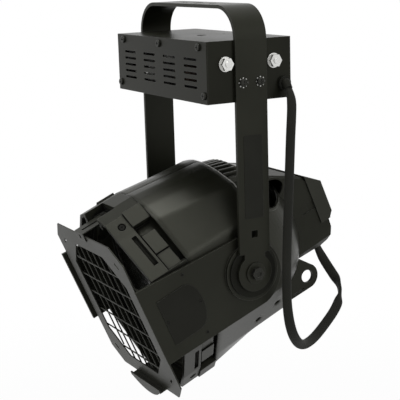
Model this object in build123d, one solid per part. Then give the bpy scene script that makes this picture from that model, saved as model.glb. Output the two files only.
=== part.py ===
"""Par can stage light with its ballast box carried in the yoke.

Row frame, in millimetres: the origin is the centre of the hanging hole on the
crossbar's top face, +Z is up, -Y is the way the light shines and +X is the arm
that the lamp lead runs down.

The head is drawn level in a frame of its own, with the tilt axis as its origin:
x across, y backwards and z up. `seat_head` then tips it to its rest angle and
hangs it on the yoke. A `station` is a distance along the beam in front of the
tilt axis, so it counts along the head's own -y.
"""
from build123d import *
from math import atan2, cos, degrees, pi, radians, sin, sqrt, tan
import os

os.makedirs("parts", exist_ok=True)

# ---------------------------------------------------------------- clearances
FIT = 0.2  # gap between pieces that sit in or against each other
RUNNING = 0.08  # radial clearance of a bolt that the head turns on
LOOSE = 1.0  # gap round a piece that only passes through

# ---------------------------------------------------------------------- yoke
YOKE_SPAN = 217.0  # between the inner faces of the arms
YOKE_DROP = 300.0  # crossbar's top face down to the tilt axis
STRAP_WIDTH = 40.0
STRAP_THICK = 4.0
ARM_IN = YOKE_SPAN / 2
ARM_OUT = ARM_IN + STRAP_THICK
STRAP_BEND = 36.5  # outer radius of the strap's two bends
ARM_EYE_R = 21.7  # round end of each arm
SHOULDER_RISE = 23.0  # step above the round end
NECK_WIDTH = 27.0
HANG_HOLE_R = 6.5
SIDE_HOLE_R = 4.5
SIDE_HOLE_PITCH = 32.0
SLOT_SQUARE = 8.0  # square hole in each arm
SLOT_SQUARE_Z = -254.6

# --------------------------------------------------------------- ballast box
BOX_TOP_Z = -36.9
BOX_HEIGHT = 67.6
BOX_DEPTH = 109.7
BOX_SHIFT = 0.7  # box centre behind the yoke's centre plane
SHEET = 1.5
LIP = 14.0  # folded lips round the case's open front
VENT_COLUMNS = 4
VENT_ROWS = 5
VENT_PITCH_X = YOKE_SPAN / 4 - 5.05
VENT_PITCH_Z = 7.6
VENT_LENGTH = 29.0
VENT_WIDTH = 2.8
ACCESS_HOLE_R = 5.8
COVER_SCREW_R = 2.0
END_BOLT_Y = 31.0
END_BOLT_Z = -62.0
END_BOLT_R = 4.0
ARM_SCREW_Y = 11.0
ARM_SCREW_Z = -83.3
ARM_SCREW_R = 2.5
GLAND_Y = 44.6
GLAND_Z = -88.0
GLAND_R = 5.2
GLAND_FLANGE = 3.5

# ----------------------------------------------------------------- tilt axis
TILT = 22.9  # how far the beam points down at rest, in degrees
PIVOT_R = 4.0
PIVOT_FLATS = 13.0  # across the flats of the pivot bolts and their locknuts
DISC_THICK = 2.0
DISC_R = 30.0
BOSS_R = 34.0

# ---------------------------------------------------------- head: front ring
CHEEK_ROOM = 9.5  # side plate, boss and friction disc on each side, up to the arm
SIDE_X = ARM_IN - CHEEK_ROOM  # half width of ring and shell, under the side plates
RING_FRONT = 113.0  # stations along the beam
RING_BAND_BACK = 89.0
RING_BACK = 56.0
RING_WALL = 4.0
RING_CROWN = (15.0, 119.8)  # corners of the ring's outline at the top
RING_SHOULDER = (34.5, 114.0)
RING_CORNER = (SIDE_X - 46.5, 97.0)
RING_SIDE_TOP = 56.0
RING_SIDE_LOW = -43.0
RING_LOW_CORNER = (SIDE_X - 39.0, -92.0)
RING_LOW_FLAT = 38.0
RING_BOTTOM = -114.0
NECK_INSET = 9.0  # how far the pocket floor lies below the ring's band
SLOT_LENGTH = 43.0
SLOT_WIDTH = 6.0
SLOT_DEPTH = 2.8
NOTCH_HALF = 17.0  # half width of the notch in the flat top, for the frame clip
NOTCH_BACK = 87.8
NOTCH_FLOOR = 109.4
NOTCH_FLOOR_FRONT = 104.0
NOTCH_LOW = 106.0
NOTCH_WALL = 6.0
BLOCK_BACK = 64.8  # raised blocks behind the band, on the short facets
BLOCK_FRONT = 88.5
BLOCK_RISE = 1.6
RECESS_R = 4.7
PANEL_BACK = 70.0  # flush panels behind the band, on the long facets
PANEL_FRONT = 87.4
CLIP_HALF = 11.0
CLIP_SLOT_HALF = 2.0
CLIP_THICK = 1.2
CLIP_LIP = 6.0  # how far the clip's lip reaches below the colour frame's top
CLIP_RIVET_X = 7.5
CLIP_RIVET_S = 96.0

# --------------------------------------------------------------- head: shell
SHELL_FRONT = 64.0
SHELL_BACK = -38.0
SHELL_WALL = 3.0
PIVOT_CLEAR_R = PIVOT_R + 2.0

# --------------------------------------------------------- head: side plates
PLATE_THICK = 3.5
PLATE_FRONT = 136.3
PLATE_FRONT_TOP = 56.5
PLATE_FRONT_LOW = -41.0
PLATE_REAR_R = 41.0
PLATE_REAR_DROP = 5.0
BADGE_FRONT = 119.0
BADGE_BACK = 67.0
BADGE_TOP = 33.0
BADGE_LOW = -25.0
BADGE_THICK = 0.8

# ---------------------------------------------------------- head: rear parts
DOME_R = SIDE_X - 5.0
DOME_DEPTH = 78.0
DOME_BACK = -98.0
DOME_WALL = 3.0
FIN_COUNT = 11
FIN_PITCH = 9.0
FIN_THICK = 3.0
CAP_HALF = 58.0
CAP_BOTTOM = -55.0
CAP_BACK = -149.0
CAP_WALL = 2.5
CAP_BEVEL = 3.0
COVER_FRONT = -131.5
COVER_LOW = -24.0
COVER_THICK = 1.6
# Top of the cap seen from the side: a long slope, then a steeper one at the back.
CAP_RIDGE = [(-76.0, 75.0), (-123.0, 47.5), (-149.0, 25.0)]
CAP_SHOULDER = 17.0  # height under which the cap's side starts further back
CAP_STEP = -84.0
VENT_STATION = -79.0
VENT_HEIGHT = 50.5
VENT_HALF_LENGTH = 22.0
VENT_HALF_HEIGHT = 13.0
VENT_RIM = 2.5
RIM_RISE = 1.2

# --------------------------------------------------------- head: safety eye
EYE_X = 38.0
EYE_STATION = -95.7
EYE_DROP = -85.8
EYE_HOLE_R = 8.2
EYE_R = 16.0
EYE_THICK = 4.0

# -------------------------------------------------------------- head: optics
LENS_R = SIDE_X - 14.5
LENS_BACK = 71.5
LENS_RIM = 4.0
LENS_BULGE = 6.0
RING_TUBE_R = LENS_R + 4.0
CARRIER_THICK = 3.0
REFLECTOR_R = LENS_R - 1.5
REFLECTOR_NECK_R = 18.0
REFLECTOR_BACK = -20.0
REFLECTOR_WALL = 1.2
LAMP_R = 9.5
LAMP_BASE_R = 12.5
HOLDER_R = 20.0

# -------------------------------------------------------- head: colour frame
FRAME_STATION = 131.0
FRAME_SHEET = 1.5
FRAME_HALF = SIDE_X - 7.7
FRAME_TOP = 105.5
FRAME_BOTTOM = -102.4
FRAME_CUT = 20.0
OPENING_HALF = FRAME_HALF - 21.3
OPENING_TOP = 84.6
OPENING_BOTTOM = -81.0
OPENING_CUT = 33.0
WIRE_R = 0.9
MESH_PITCH_Z = 26.3
MESH_TOP_WIRE = 60.0
MESH_ROWS = 6
MESH_PITCH_X = 17.5
MESH_COLUMNS = 7

# ---------------------------------------------------------------- lamp lead
LEAD_R = 4.5
# Route of the lead from the gland to the bush under the rear cap, row frame.
BOOT_END = (ARM_IN + GLAND_FLANGE + 5.1, GLAND_Y, GLAND_Z - 6.1)
LEAD_ROUTE = [
    BOOT_END,
    (122.2, 44.6, -100.2),
    (126.3, 43.2, -109.4),
    (128.7, 41.0, -123.2),
    (129.2, 38.9, -147.0),
    (128.4, 37.4, -187.0),
    (127.2, 35.6, -232.0),
    (127.0, 33.4, -277.0),
    (128.2, 31.4, -318.0),
    (126.0, 34.0, -352.0),
    (118.5, 45.5, -382.5),
    (104.0, 67.0, -404.0),
    (87.0, 95.0, -407.0),
    (75.0, 121.5, -397.0),
    (66.5, 147.0, -380.5),
    (58.5, 159.5, -366.0),
    (49.0, 162.8, -354.0),
    (39.0, 159.8, -342.5),
    (31.0, 154.6, -329.0),
    (27.0, 148.5, -314.9),
    (27.0, 144.6, -305.7),
]

PIVOT_Z = -YOKE_DROP
PLATE_OUT = SIDE_X + PLATE_THICK
BOSS_FACE = ARM_IN - DISC_THICK - FIT
BOX_FRONT_Y = BOX_SHIFT - BOX_DEPTH / 2
BOX_BACK_Y = BOX_SHIFT + BOX_DEPTH / 2
BOX_LOW_Z = BOX_TOP_Z - BOX_HEIGHT
CASE_FRONT_Y = BOX_FRONT_Y + SHEET


# ================================================================= helpers
def seat_head(solid):
    """Tip a piece of the level head to its rest angle and hang it on the yoke."""
    return Pos(0, 0, PIVOT_Z) * Rot(TILT, 0, 0) * solid


def block(x0, x1, y0, y1, z0, z1):
    """Box between two corners."""
    centre = Pos((x0 + x1) / 2, (y0 + y1) / 2, (z0 + z1) / 2)
    return centre * Box(x1 - x0, y1 - y0, z1 - z0)


def rod_x(x0, x1, y, z, radius):
    """Cylinder along X from x0 to x1."""
    return Pos((x0 + x1) / 2, y, z) * Rot(0, 90, 0) * Cylinder(radius, abs(x1 - x0))


def rod_y(y0, y1, x, z, radius):
    """Cylinder along Y from y0 to y1."""
    return Pos(x, (y0 + y1) / 2, z) * Rot(90, 0, 0) * Cylinder(radius, abs(y1 - y0))


def rod_z(z0, z1, x, y, radius):
    """Cylinder along Z from z0 to z1."""
    return Pos(x, y, (z0 + z1) / 2) * Cylinder(radius, abs(z1 - z0))


def hex_x(x0, x1, y, z, flats):
    """Hexagonal prism along X, given across its flats."""
    face = Plane(origin=(x0, y, z), x_dir=(0, 1, 0), z_dir=(1, 0, 0))
    return extrude(face * RegularPolygon(flats / sqrt(3), 6), amount=x1 - x0)


def both_sides(make):
    """The solid that `make(side)` gives at +X and at -X, as one group."""
    return Compound(children=[solid for side in (1, -1) for solid in make(side).solids()])


def group(solids):
    """Separate solids kept together in one node."""
    return Compound(children=[one for item in solids for one in item.solids()])


def station(s):
    """Plane across the beam at a station, with its own x across and y up."""
    return Plane(origin=(0, -s, 0), x_dir=(1, 0, 0), z_dir=(0, -1, 0))


def mirrored(half):
    """Closed outline from its x >= 0 half, listed from the top down."""
    return half + [(-x, z) for x, z in reversed(half)]


def across(outline, s0, s1, inset=0.0):
    """Prism of an outline between two stations, its sides moved in by `inset`."""
    face = Polygon(*outline, align=None)
    if inset:
        face = offset(face, amount=-inset, kind=Kind.INTERSECTION)
    return extrude(station(s0) * face, amount=s1 - s0, dir=(0, -1, 0))


def spun(profile):
    """Solid turned about the beam from (radius, station) points."""
    points = [(radius, -s, 0) for radius, s in profile]
    face = make_face(Polyline(*points, close=True))
    return revolve(face, Axis.Y)


def disc(s0, s1, radius, bore=0.0, x=0.0, z=0.0):
    """Round plate across the beam between two stations, with an optional bore."""
    plate = rod_y(-s1, -s0, x, z, radius)
    return plate - rod_y(-s1 - 1, -s0 + 1, x, z, bore) if bore else plate


def plate_x(points, x0, x1, inset=0.0):
    """Plate lying against a plane of constant X, from (station, height) points."""
    plane = Plane(origin=(x0, 0, 0), x_dir=(0, -1, 0), z_dir=(-1, 0, 0))
    face = Polygon(*points, align=None)
    if inset:
        face = offset(face, amount=-inset, kind=Kind.INTERSECTION)
    return extrude(plane * face, amount=x1 - x0, dir=(1, 0, 0))


# ==================================================================== yoke
def yoke_strap():
    """Flat bar bent into a U, with an eye at the foot of each arm."""
    outer = RectangleRounded(2 * ARM_OUT, 2 * YOKE_DROP, STRAP_BEND)
    inner = RectangleRounded(2 * ARM_IN, 2 * (YOKE_DROP - STRAP_THICK), STRAP_BEND - STRAP_THICK)
    middle = Plane(origin=(0, STRAP_WIDTH / 2, PIVOT_Z), x_dir=(1, 0, 0), z_dir=(0, -1, 0))
    strap = extrude(middle * (outer - inner), amount=STRAP_WIDTH, dir=(0, -1, 0))
    strap -= block(-ARM_OUT - 1, ARM_OUT + 1, -STRAP_WIDTH, STRAP_WIDTH, 2 * PIVOT_Z - 1, PIVOT_Z)
    for side in (1, -1):
        arm = sorted((side * ARM_IN, side * ARM_OUT))
        for edge in (1, -1):
            notch = sorted((edge * NECK_WIDTH / 2, edge * STRAP_WIDTH))
            strap -= block(arm[0] - 1, arm[1] + 1, *notch, PIVOT_Z - 1, PIVOT_Z + SHOULDER_RISE)
        strap += rod_x(*arm, 0, PIVOT_Z, ARM_EYE_R)
        strap -= rod_x(arm[0] - 1, arm[1] + 1, 0, PIVOT_Z, PIVOT_R + RUNNING)
        for y in (-ARM_SCREW_Y, ARM_SCREW_Y):
            strap -= rod_x(arm[0] - 1, arm[1] + 1, y, ARM_SCREW_Z, ARM_SCREW_R + FIT)
        window = SLOT_SQUARE / 2
        strap -= block(arm[0] - 1, arm[1] + 1, -window, window, SLOT_SQUARE_Z - window, SLOT_SQUARE_Z + window)
        strap -= rod_z(-STRAP_THICK - 1, 1, side * SIDE_HOLE_PITCH, 0, SIDE_HOLE_R)
    return strap - rod_z(-STRAP_THICK - 1, 1, 0, 0, HANG_HOLE_R)


COVER_SCREWS = [
    (16.5 - ARM_IN, BOX_TOP_Z - 6.2),
    (0.0, BOX_TOP_Z - 6.6),
    (ARM_IN - 16.5, BOX_TOP_Z - 6.4),
    (6.0 - ARM_IN, BOX_LOW_Z + 9.2),
    (ARM_IN - 6.0, BOX_LOW_Z + 9.2),
]


def ballast_case():
    """Folded steel box, open at the front, with lips for the cover's screws."""
    case = block(-ARM_IN, ARM_IN, CASE_FRONT_Y, BOX_BACK_Y, BOX_LOW_Z, BOX_TOP_Z)
    case = fillet(case.edges().filter_by(Axis.Z).group_by(Axis.Y)[-1], 3.0)
    case -= block(
        -ARM_IN + SHEET, ARM_IN - SHEET, CASE_FRONT_Y + SHEET, BOX_BACK_Y - SHEET, BOX_LOW_Z + SHEET, BOX_TOP_Z - SHEET
    )
    case -= block(-ARM_IN + LIP, ARM_IN - LIP, CASE_FRONT_Y - 1, CASE_FRONT_Y + 2, BOX_LOW_Z + LIP, BOX_TOP_Z - LIP)
    for x, z in COVER_SCREWS:
        case -= rod_y(CASE_FRONT_Y - 1, CASE_FRONT_Y + 3, x, z, COVER_SCREW_R)
    for side in (1, -1):
        end = sorted((side * (ARM_IN - SHEET - 1), side * (ARM_IN + 1)))
        for y in (-END_BOLT_Y, END_BOLT_Y):
            case -= rod_x(*end, y, END_BOLT_Z, END_BOLT_R + FIT)
        for y in (-ARM_SCREW_Y, ARM_SCREW_Y):
            case -= rod_x(*end, y, ARM_SCREW_Z, ARM_SCREW_R)
    case -= rod_x(ARM_IN - SHEET - 1, ARM_IN + 1, GLAND_Y, GLAND_Z, GLAND_R + FIT)
    case -= rod_z(BOX_TOP_Z - SHEET - 1, BOX_TOP_Z + 1, 10.0, -3.0, ACCESS_HOLE_R)
    case -= rod_z(BOX_TOP_Z - SHEET - 1, BOX_TOP_Z + 1, 12.0, 26.0, 1.6)
    return case - rod_y(BOX_BACK_Y - SHEET - 1, BOX_BACK_Y + 1, *MAINS_SPOT, MAINS_R + FIT)


MAINS_SPOT = (38.5 - ARM_IN, BOX_LOW_Z + 20.0)
MAINS_R = 8.0


def ballast_cover():
    """Flat front cover with rows of vent slots."""
    cover = block(-ARM_IN, ARM_IN, BOX_FRONT_Y, CASE_FRONT_Y, BOX_LOW_Z, BOX_TOP_Z)
    for column in range(VENT_COLUMNS):
        x = (column - (VENT_COLUMNS - 1) / 2) * VENT_PITCH_X - 1.0
        for row in range(VENT_ROWS):
            z = BOX_TOP_Z - 20.3 - row * VENT_PITCH_Z
            slot = Plane(origin=(x, BOX_FRONT_Y - 1, z), x_dir=(1, 0, 0), z_dir=(0, 1, 0))
            cover -= extrude(slot * SlotOverall(VENT_LENGTH, VENT_WIDTH), amount=SHEET + 2)
    for x, z in COVER_SCREWS:
        cover -= rod_y(BOX_FRONT_Y - 1, CASE_FRONT_Y + 1, x, z, COVER_SCREW_R + FIT)
    return cover


def pan_screw(radius, length, head_r, head_h):
    """Cross-headed pan screw: head above z = 0, shank below it."""
    head = Pos(0, 0, head_h / 2) * Cylinder(head_r, head_h)
    head = fillet(head.edges().group_by(Axis.Z)[-1], head_h * 0.55)
    for turn in (0, 90):
        head -= Pos(0, 0, head_h) * Rot(0, 0, turn) * Box(head_r * 1.2, head_r * 0.28, head_h)
    return head + Pos(0, 0, -length / 2) * Cylinder(radius, length)


def cover_screws():
    """Pan screws that hold the cover to the case's lips."""
    screw = pan_screw(COVER_SCREW_R, SHEET * 2 + 3, 4.3, 2.4)
    return group([Pos(x, BOX_FRONT_Y, z) * Rot(90, 0, 0) * screw for x, z in COVER_SCREWS])


def end_bolts():
    """Hex bolts through the ends of the case into the tray inside."""

    def one_side(side):
        bolts = []
        for y in (-END_BOLT_Y, END_BOLT_Y):
            face = ARM_IN + END_WASHER
            head = hex_x(face, face + 5.3, y, END_BOLT_Z, 13.0)
            shank = rod_x(ARM_IN - SHEET - TRAY_SHEET - 7.0, face, y, END_BOLT_Z, END_BOLT_R)
            tip = rod_x(face + 5.3, face + 6.6, y, END_BOLT_Z, 3.4)
            bolts.append(head + shank + tip)
        solid = group(bolts)
        return solid if side > 0 else Rot(0, 0, 180) * solid

    return both_sides(one_side)


END_WASHER = 1.6
TRAY_SHEET = 1.5
TRAY_BACK_Y = 35.5


def end_washers():
    """Flat washers under the end bolts."""

    def one_side(side):
        rings = []
        for y in (-END_BOLT_Y, END_BOLT_Y):
            ring = rod_x(ARM_IN, ARM_IN + END_WASHER, y, END_BOLT_Z, 8.2)
            rings.append(ring - rod_x(ARM_IN - 1, ARM_IN + END_WASHER + 1, y, END_BOLT_Z, END_BOLT_R + FIT))
        solid = group(rings)
        return solid if side > 0 else Rot(0, 0, 180) * solid

    return both_sides(one_side)


STAR_THICK = 0.8


def arm_screws():
    """Pan screws that fasten the arms to the ends of the case."""
    screw = pan_screw(ARM_SCREW_R, STRAP_THICK + STAR_THICK + SHEET + 2.5, 4.6, 2.6)
    placed = []
    for side in (1, -1):
        for y in (-ARM_SCREW_Y, ARM_SCREW_Y):
            placed.append(Pos(side * (ARM_OUT + STAR_THICK), y, ARM_SCREW_Z) * Rot(0, side * 90, 0) * screw)
    return group(placed)


def star_washers():
    """Toothed washers under the arm screws."""
    washer = Cylinder(4.4, STAR_THICK) - Cylinder(ARM_SCREW_R + FIT, STAR_THICK * 3)
    for tooth in range(8):
        washer += Rot(0, 0, tooth * 45) * Pos(4.9, 0, 0) * Box(1.8, 1.5, STAR_THICK)
    placed = []
    for side in (1, -1):
        for y in (-ARM_SCREW_Y, ARM_SCREW_Y):
            placed.append(Pos(side * (ARM_OUT + STAR_THICK / 2), y, ARM_SCREW_Z) * Rot(0, 90, 0) * washer)
    return group(placed)


def chassis_tray():
    """U-shaped tray inside the case, held by the end bolts."""
    x = ARM_IN - SHEET
    floor_z = BOX_LOW_Z + SHEET
    tray = block(-x, x, -44.0, TRAY_BACK_Y, floor_z, floor_z + TRAY_SHEET)
    for side in (1, -1):
        wall = sorted((side * (x - TRAY_SHEET), side * x))
        tray += block(*wall, -44.0, TRAY_BACK_Y, floor_z, END_BOLT_Z + 10.0)
        for y in (-END_BOLT_Y, END_BOLT_Y):
            tray -= rod_x(wall[0] - 1, wall[1] + 1, y, END_BOLT_Z, END_BOLT_R)
        for y in (-ARM_SCREW_Y, ARM_SCREW_Y):
            tray -= rod_x(wall[0] - 1, wall[1] + 1, y, ARM_SCREW_Z, ARM_SCREW_R + LOOSE)
    return tray


TRAY_TOP = BOX_LOW_Z + SHEET + TRAY_SHEET
CHOKE_X = 0.2765 * ARM_IN


def choke_core():
    """Laminated iron core of the ballast, with its foot plate."""
    core = block(CHOKE_X - 42, CHOKE_X + 42, -30.0, 22.0, TRAY_TOP + 2, TRAY_TOP + 46)
    for x in (CHOKE_X - 26, CHOKE_X + 12):
        core -= block(x, x + 14, -31.0, 23.0, TRAY_TOP + 12, TRAY_TOP + 36)
    core += block(CHOKE_X - 54, CHOKE_X + 54, -30.0, 22.0, TRAY_TOP, TRAY_TOP + 2)
    for x in (CHOKE_X - 48, CHOKE_X + 48):
        core -= rod_z(TRAY_TOP - 1, TRAY_TOP + 3, x, -4.0, 2.6)
    return core


def choke_winding():
    """Varnished copper coil round the core's middle limb."""
    coil = block(CHOKE_X - 25.5, CHOKE_X + 25.5, -38.0, 30.0, TRAY_TOP + 12.5, TRAY_TOP + 35.5)
    coil = fillet(coil.edges().filter_by(Axis.X), 5.0)
    coil -= block(CHOKE_X - 12, CHOKE_X + 12, -30.0, 22.0, TRAY_TOP + 10, TRAY_TOP + 38)
    return coil


def choke_screws():
    """Screws through the ballast's feet into the tray."""
    screw = pan_screw(2.4, 2.0, 4.0, 2.4)
    return group([Pos(x, -4.0, TRAY_TOP + 2) * screw for x in (CHOKE_X - 48, CHOKE_X + 48)])


IGNITOR_X = 30.5 - ARM_IN


def ignitor():
    """Round can of the ignitor, with its stud."""
    can = rod_z(TRAY_TOP, TRAY_TOP + 45, IGNITOR_X, 10.0, 17.0)
    return fillet(can.edges().group_by(Axis.Z)[-1], 3.0)


CAPACITOR_END = 12.5 - ARM_IN  # its end beside the case wall
CAPACITOR_LENGTH = 56.0
CAPACITOR_R = 15.0
CAPACITOR_Y = -24.0
CLIP_WALL = 1.2
CAPACITOR_Z = TRAY_TOP + CAPACITOR_R + FIT + CLIP_WALL


def capacitor():
    """Power factor capacitor lying across the tray."""
    far_end = CAPACITOR_END + CAPACITOR_LENGTH
    can = rod_x(CAPACITOR_END, far_end, CAPACITOR_Y, CAPACITOR_Z, CAPACITOR_R)
    return fillet(can.edges().filter_by(GeomType.CIRCLE), 2.0)


def capacitor_clip():
    """Spring clip that holds the capacitor to the tray."""
    x0 = CAPACITOR_END + 26.0
    x1 = x0 + 12.0
    ring = rod_x(x0, x1, CAPACITOR_Y, CAPACITOR_Z, CAPACITOR_R + FIT + CLIP_WALL)
    ring += block(x0, x1, CAPACITOR_Y - 8, CAPACITOR_Y + 8, TRAY_TOP, TRAY_TOP + 3)
    ring -= rod_x(x0 - 1, x1 + 1, CAPACITOR_Y, CAPACITOR_Z, CAPACITOR_R + FIT)
    return ring - block(x0 - 1, x1 + 1, CAPACITOR_Y - 6, CAPACITOR_Y + 6, CAPACITOR_Z, CAPACITOR_Z + 20)


def terminal_block():
    """Five-way terminal block on the tray."""
    base_x = ARM_IN - 38.5
    strip = block(base_x - 10, base_x + 26, 25.0, 35.0, TRAY_TOP, TRAY_TOP + 12)
    for way in range(5):
        x = base_x - 6 + way * 7
        strip -= rod_z(TRAY_TOP + 7, TRAY_TOP + 13, x, 30.0, 2.0)
        strip -= rod_y(24.0, 28.0, x, TRAY_TOP + 5, 1.8)
    return strip


def case_gland():
    """Strain relief that the lead leaves the case through, its boot bent down."""
    knee = Vector(ARM_IN + GLAND_FLANGE, GLAND_Y, GLAND_Z)
    boot_axis = Vector(*BOOT_END) - knee
    body = rod_x(ARM_IN - SHEET - 6, ARM_IN, GLAND_Y, GLAND_Z, GLAND_R)
    body += rod_x(ARM_IN, ARM_IN + GLAND_FLANGE, GLAND_Y, GLAND_Z, GLAND_R + 2.5)
    boot = Cone(GLAND_R + 0.6, LEAD_R + 0.8, boot_axis.length, align=(Align.CENTER, Align.CENTER, Align.MIN))
    boot = Plane(origin=knee, z_dir=boot_axis).location * boot
    boot += Pos(knee.X, knee.Y, knee.Z) * Sphere(GLAND_R + 0.6)
    boot &= block(ARM_IN + 1, ARM_IN + 30, 0, 2 * GLAND_Y, GLAND_Z - 40, GLAND_Z + 40)
    return body + boot


def gland_nut():
    """Locknut of the strain relief, inside the case."""
    nut = hex_x(ARM_IN - SHEET - 4.5, ARM_IN - SHEET, GLAND_Y, GLAND_Z, 15.0)
    return nut - rod_x(ARM_IN - 12, ARM_IN, GLAND_Y, GLAND_Z, GLAND_R)


def mains_bush():
    """Bush of the mains inlet in the back of the case."""
    x, z = MAINS_SPOT
    bush = rod_y(BOX_BACK_Y - SHEET - 3, BOX_BACK_Y, x, z, MAINS_R)
    bush += rod_y(BOX_BACK_Y, BOX_BACK_Y + 2.5, x, z, MAINS_R + 2.5)
    return bush - rod_y(BOX_BACK_Y - 10, BOX_BACK_Y + 4, x, z, 4.5)


WASHER_THICK = 2.0
NUT_FACE = SIDE_X - SHELL_WALL - FIT
NUT_HEIGHT = 8.0


def pivot_bolts():
    """Hex bolts that the head tilts on."""

    def one_side(side):
        face = ARM_OUT + WASHER_THICK
        top = face + 5.2
        bolt = hex_x(face, top, 0, PIVOT_Z, PIVOT_FLATS)
        bolt -= rod_x(top - 1.2, top + 1, 0, PIVOT_Z, PIVOT_R - 0.3)
        bolt += rod_x(NUT_FACE - NUT_HEIGHT - 2, face, 0, PIVOT_Z, PIVOT_R)
        return bolt if side > 0 else Rot(0, 0, 180) * bolt

    return both_sides(one_side)


def pivot_washers():
    """Washers between the pivot bolts' heads and the arms."""

    def one_side(side):
        ring = rod_x(ARM_OUT, ARM_OUT + WASHER_THICK, 0, PIVOT_Z, 12.0)
        ring -= rod_x(ARM_OUT - 1, ARM_OUT + WASHER_THICK + 1, 0, PIVOT_Z, PIVOT_R + RUNNING)
        return ring if side > 0 else Rot(0, 0, 180) * ring

    return both_sides(one_side)


def pivot_nuts():
    """Locknuts inside the shell."""

    def one_side(side):
        nut = hex_x(NUT_FACE - NUT_HEIGHT, NUT_FACE, 0, PIVOT_Z, PIVOT_FLATS)
        nut -= rod_x(NUT_FACE - NUT_HEIGHT - 1, NUT_FACE + 1, 0, PIVOT_Z, PIVOT_R)
        return nut if side > 0 else Rot(0, 0, 180) * nut

    return both_sides(one_side)


def friction_discs():
    """Fibre discs between the arms and the side plates."""

    def one_side(side):
        ring = rod_x(ARM_IN - DISC_THICK, ARM_IN, 0, PIVOT_Z, DISC_R)
        ring -= rod_x(ARM_IN - DISC_THICK - 1, ARM_IN + 1, 0, PIVOT_Z, PIVOT_R + RUNNING)
        return ring if side > 0 else Rot(0, 0, 180) * ring

    return both_sides(one_side)


def lamp_lead():
    """Lamp lead from the gland down the right arm and up to the rear cap."""
    points = [Vector(*point) for point in LEAD_ROUTE]
    radii = []
    for before, here, after in zip(points, points[1:], points[2:]):
        turn = radians((here - before).get_angle(after - here))
        shorter = min((here - before).length, (after - here).length)
        radii.append(0.45 * shorter / tan(turn / 2))
    path = FilletPolyline(*points, radius=radii)
    start = Plane(origin=path @ 0, z_dir=path % 0)
    lead = sweep(start * Circle(LEAD_R), path=path)
    print("lead radii", [round(radius, 1) for radius in radii], "length", round(path.length, 1))
    print("lead volume over section times length", round(lead.volume / (pi * LEAD_R**2 * path.length), 4))
    return lead


# ==================================================================== head
RING_OUTLINE = mirrored([
    RING_CROWN,
    RING_SHOULDER,
    RING_CORNER,
    (SIDE_X, RING_SIDE_TOP),
    (SIDE_X, RING_SIDE_LOW),
    RING_LOW_CORNER,
    (RING_LOW_FLAT, RING_BOTTOM),
])
NECK_OUTLINE = mirrored([
    (RING_SHOULDER[0] - 4, RING_SHOULDER[1] - 5),
    (RING_CORNER[0] - 6, RING_CORNER[1] - NECK_INSET + 1),
    (SIDE_X - 4, RING_SIDE_TOP - 6),
    (SIDE_X - 4, RING_SIDE_LOW + 5),
    (RING_LOW_CORNER[0] - 6, RING_LOW_CORNER[1] + 7),
    (RING_LOW_FLAT - 3, RING_BOTTOM + NECK_INSET),
])
SHELL_FRONT_OUTLINE = mirrored([
    (14.0, 119.5),
    (28.0, 116.5),
    (40.0, 110.5),
    (58.0, 99.0),
    (SIDE_X, RING_SIDE_TOP),
    (SIDE_X, RING_SIDE_LOW),
    (58.0, -92.0),
    (42.0, -110.0),
])
SHELL_BACK_OUTLINE = mirrored([
    (12.0, 107.5),
    (24.0, 105.5),
    (42.0, 101.0),
    (SIDE_X - 29.0, 90.0),
    (SIDE_X, 54.0),
    (SIDE_X, -43.0),
    (SIDE_X - 36.0, -89.0),
    (32.0, -103.0),
])


UPPER_SHORT = (RING_SHOULDER, RING_CORNER)
LOWER_SHORT = ((RING_LOW_FLAT, RING_BOTTOM), RING_LOW_CORNER)
UPPER_LONG = (RING_CORNER, (SIDE_X, RING_SIDE_TOP))
LOWER_LONG = (RING_LOW_CORNER, (SIDE_X, RING_SIDE_LOW))


def on_facet(facet, along, out, stations):
    """Blocks on a facet of the ring at both sides: spans along it, out of it and down the beam."""
    start = Vector(*facet[0])
    run = (Vector(*facet[1]) - start).normalized()
    normal = Vector(-run.Y, run.X)
    if normal.dot(start) < 0:
        normal = -normal
    corners = []
    for a, w in ((0, 0), (1, 0), (1, 1), (0, 1)):
        spot = start + run * along[a] + normal * out[w]
        corners.append((spot.X, spot.Y))
    solid = across(corners, *stations)
    return solid + mirror(solid, Plane.YZ)


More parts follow.
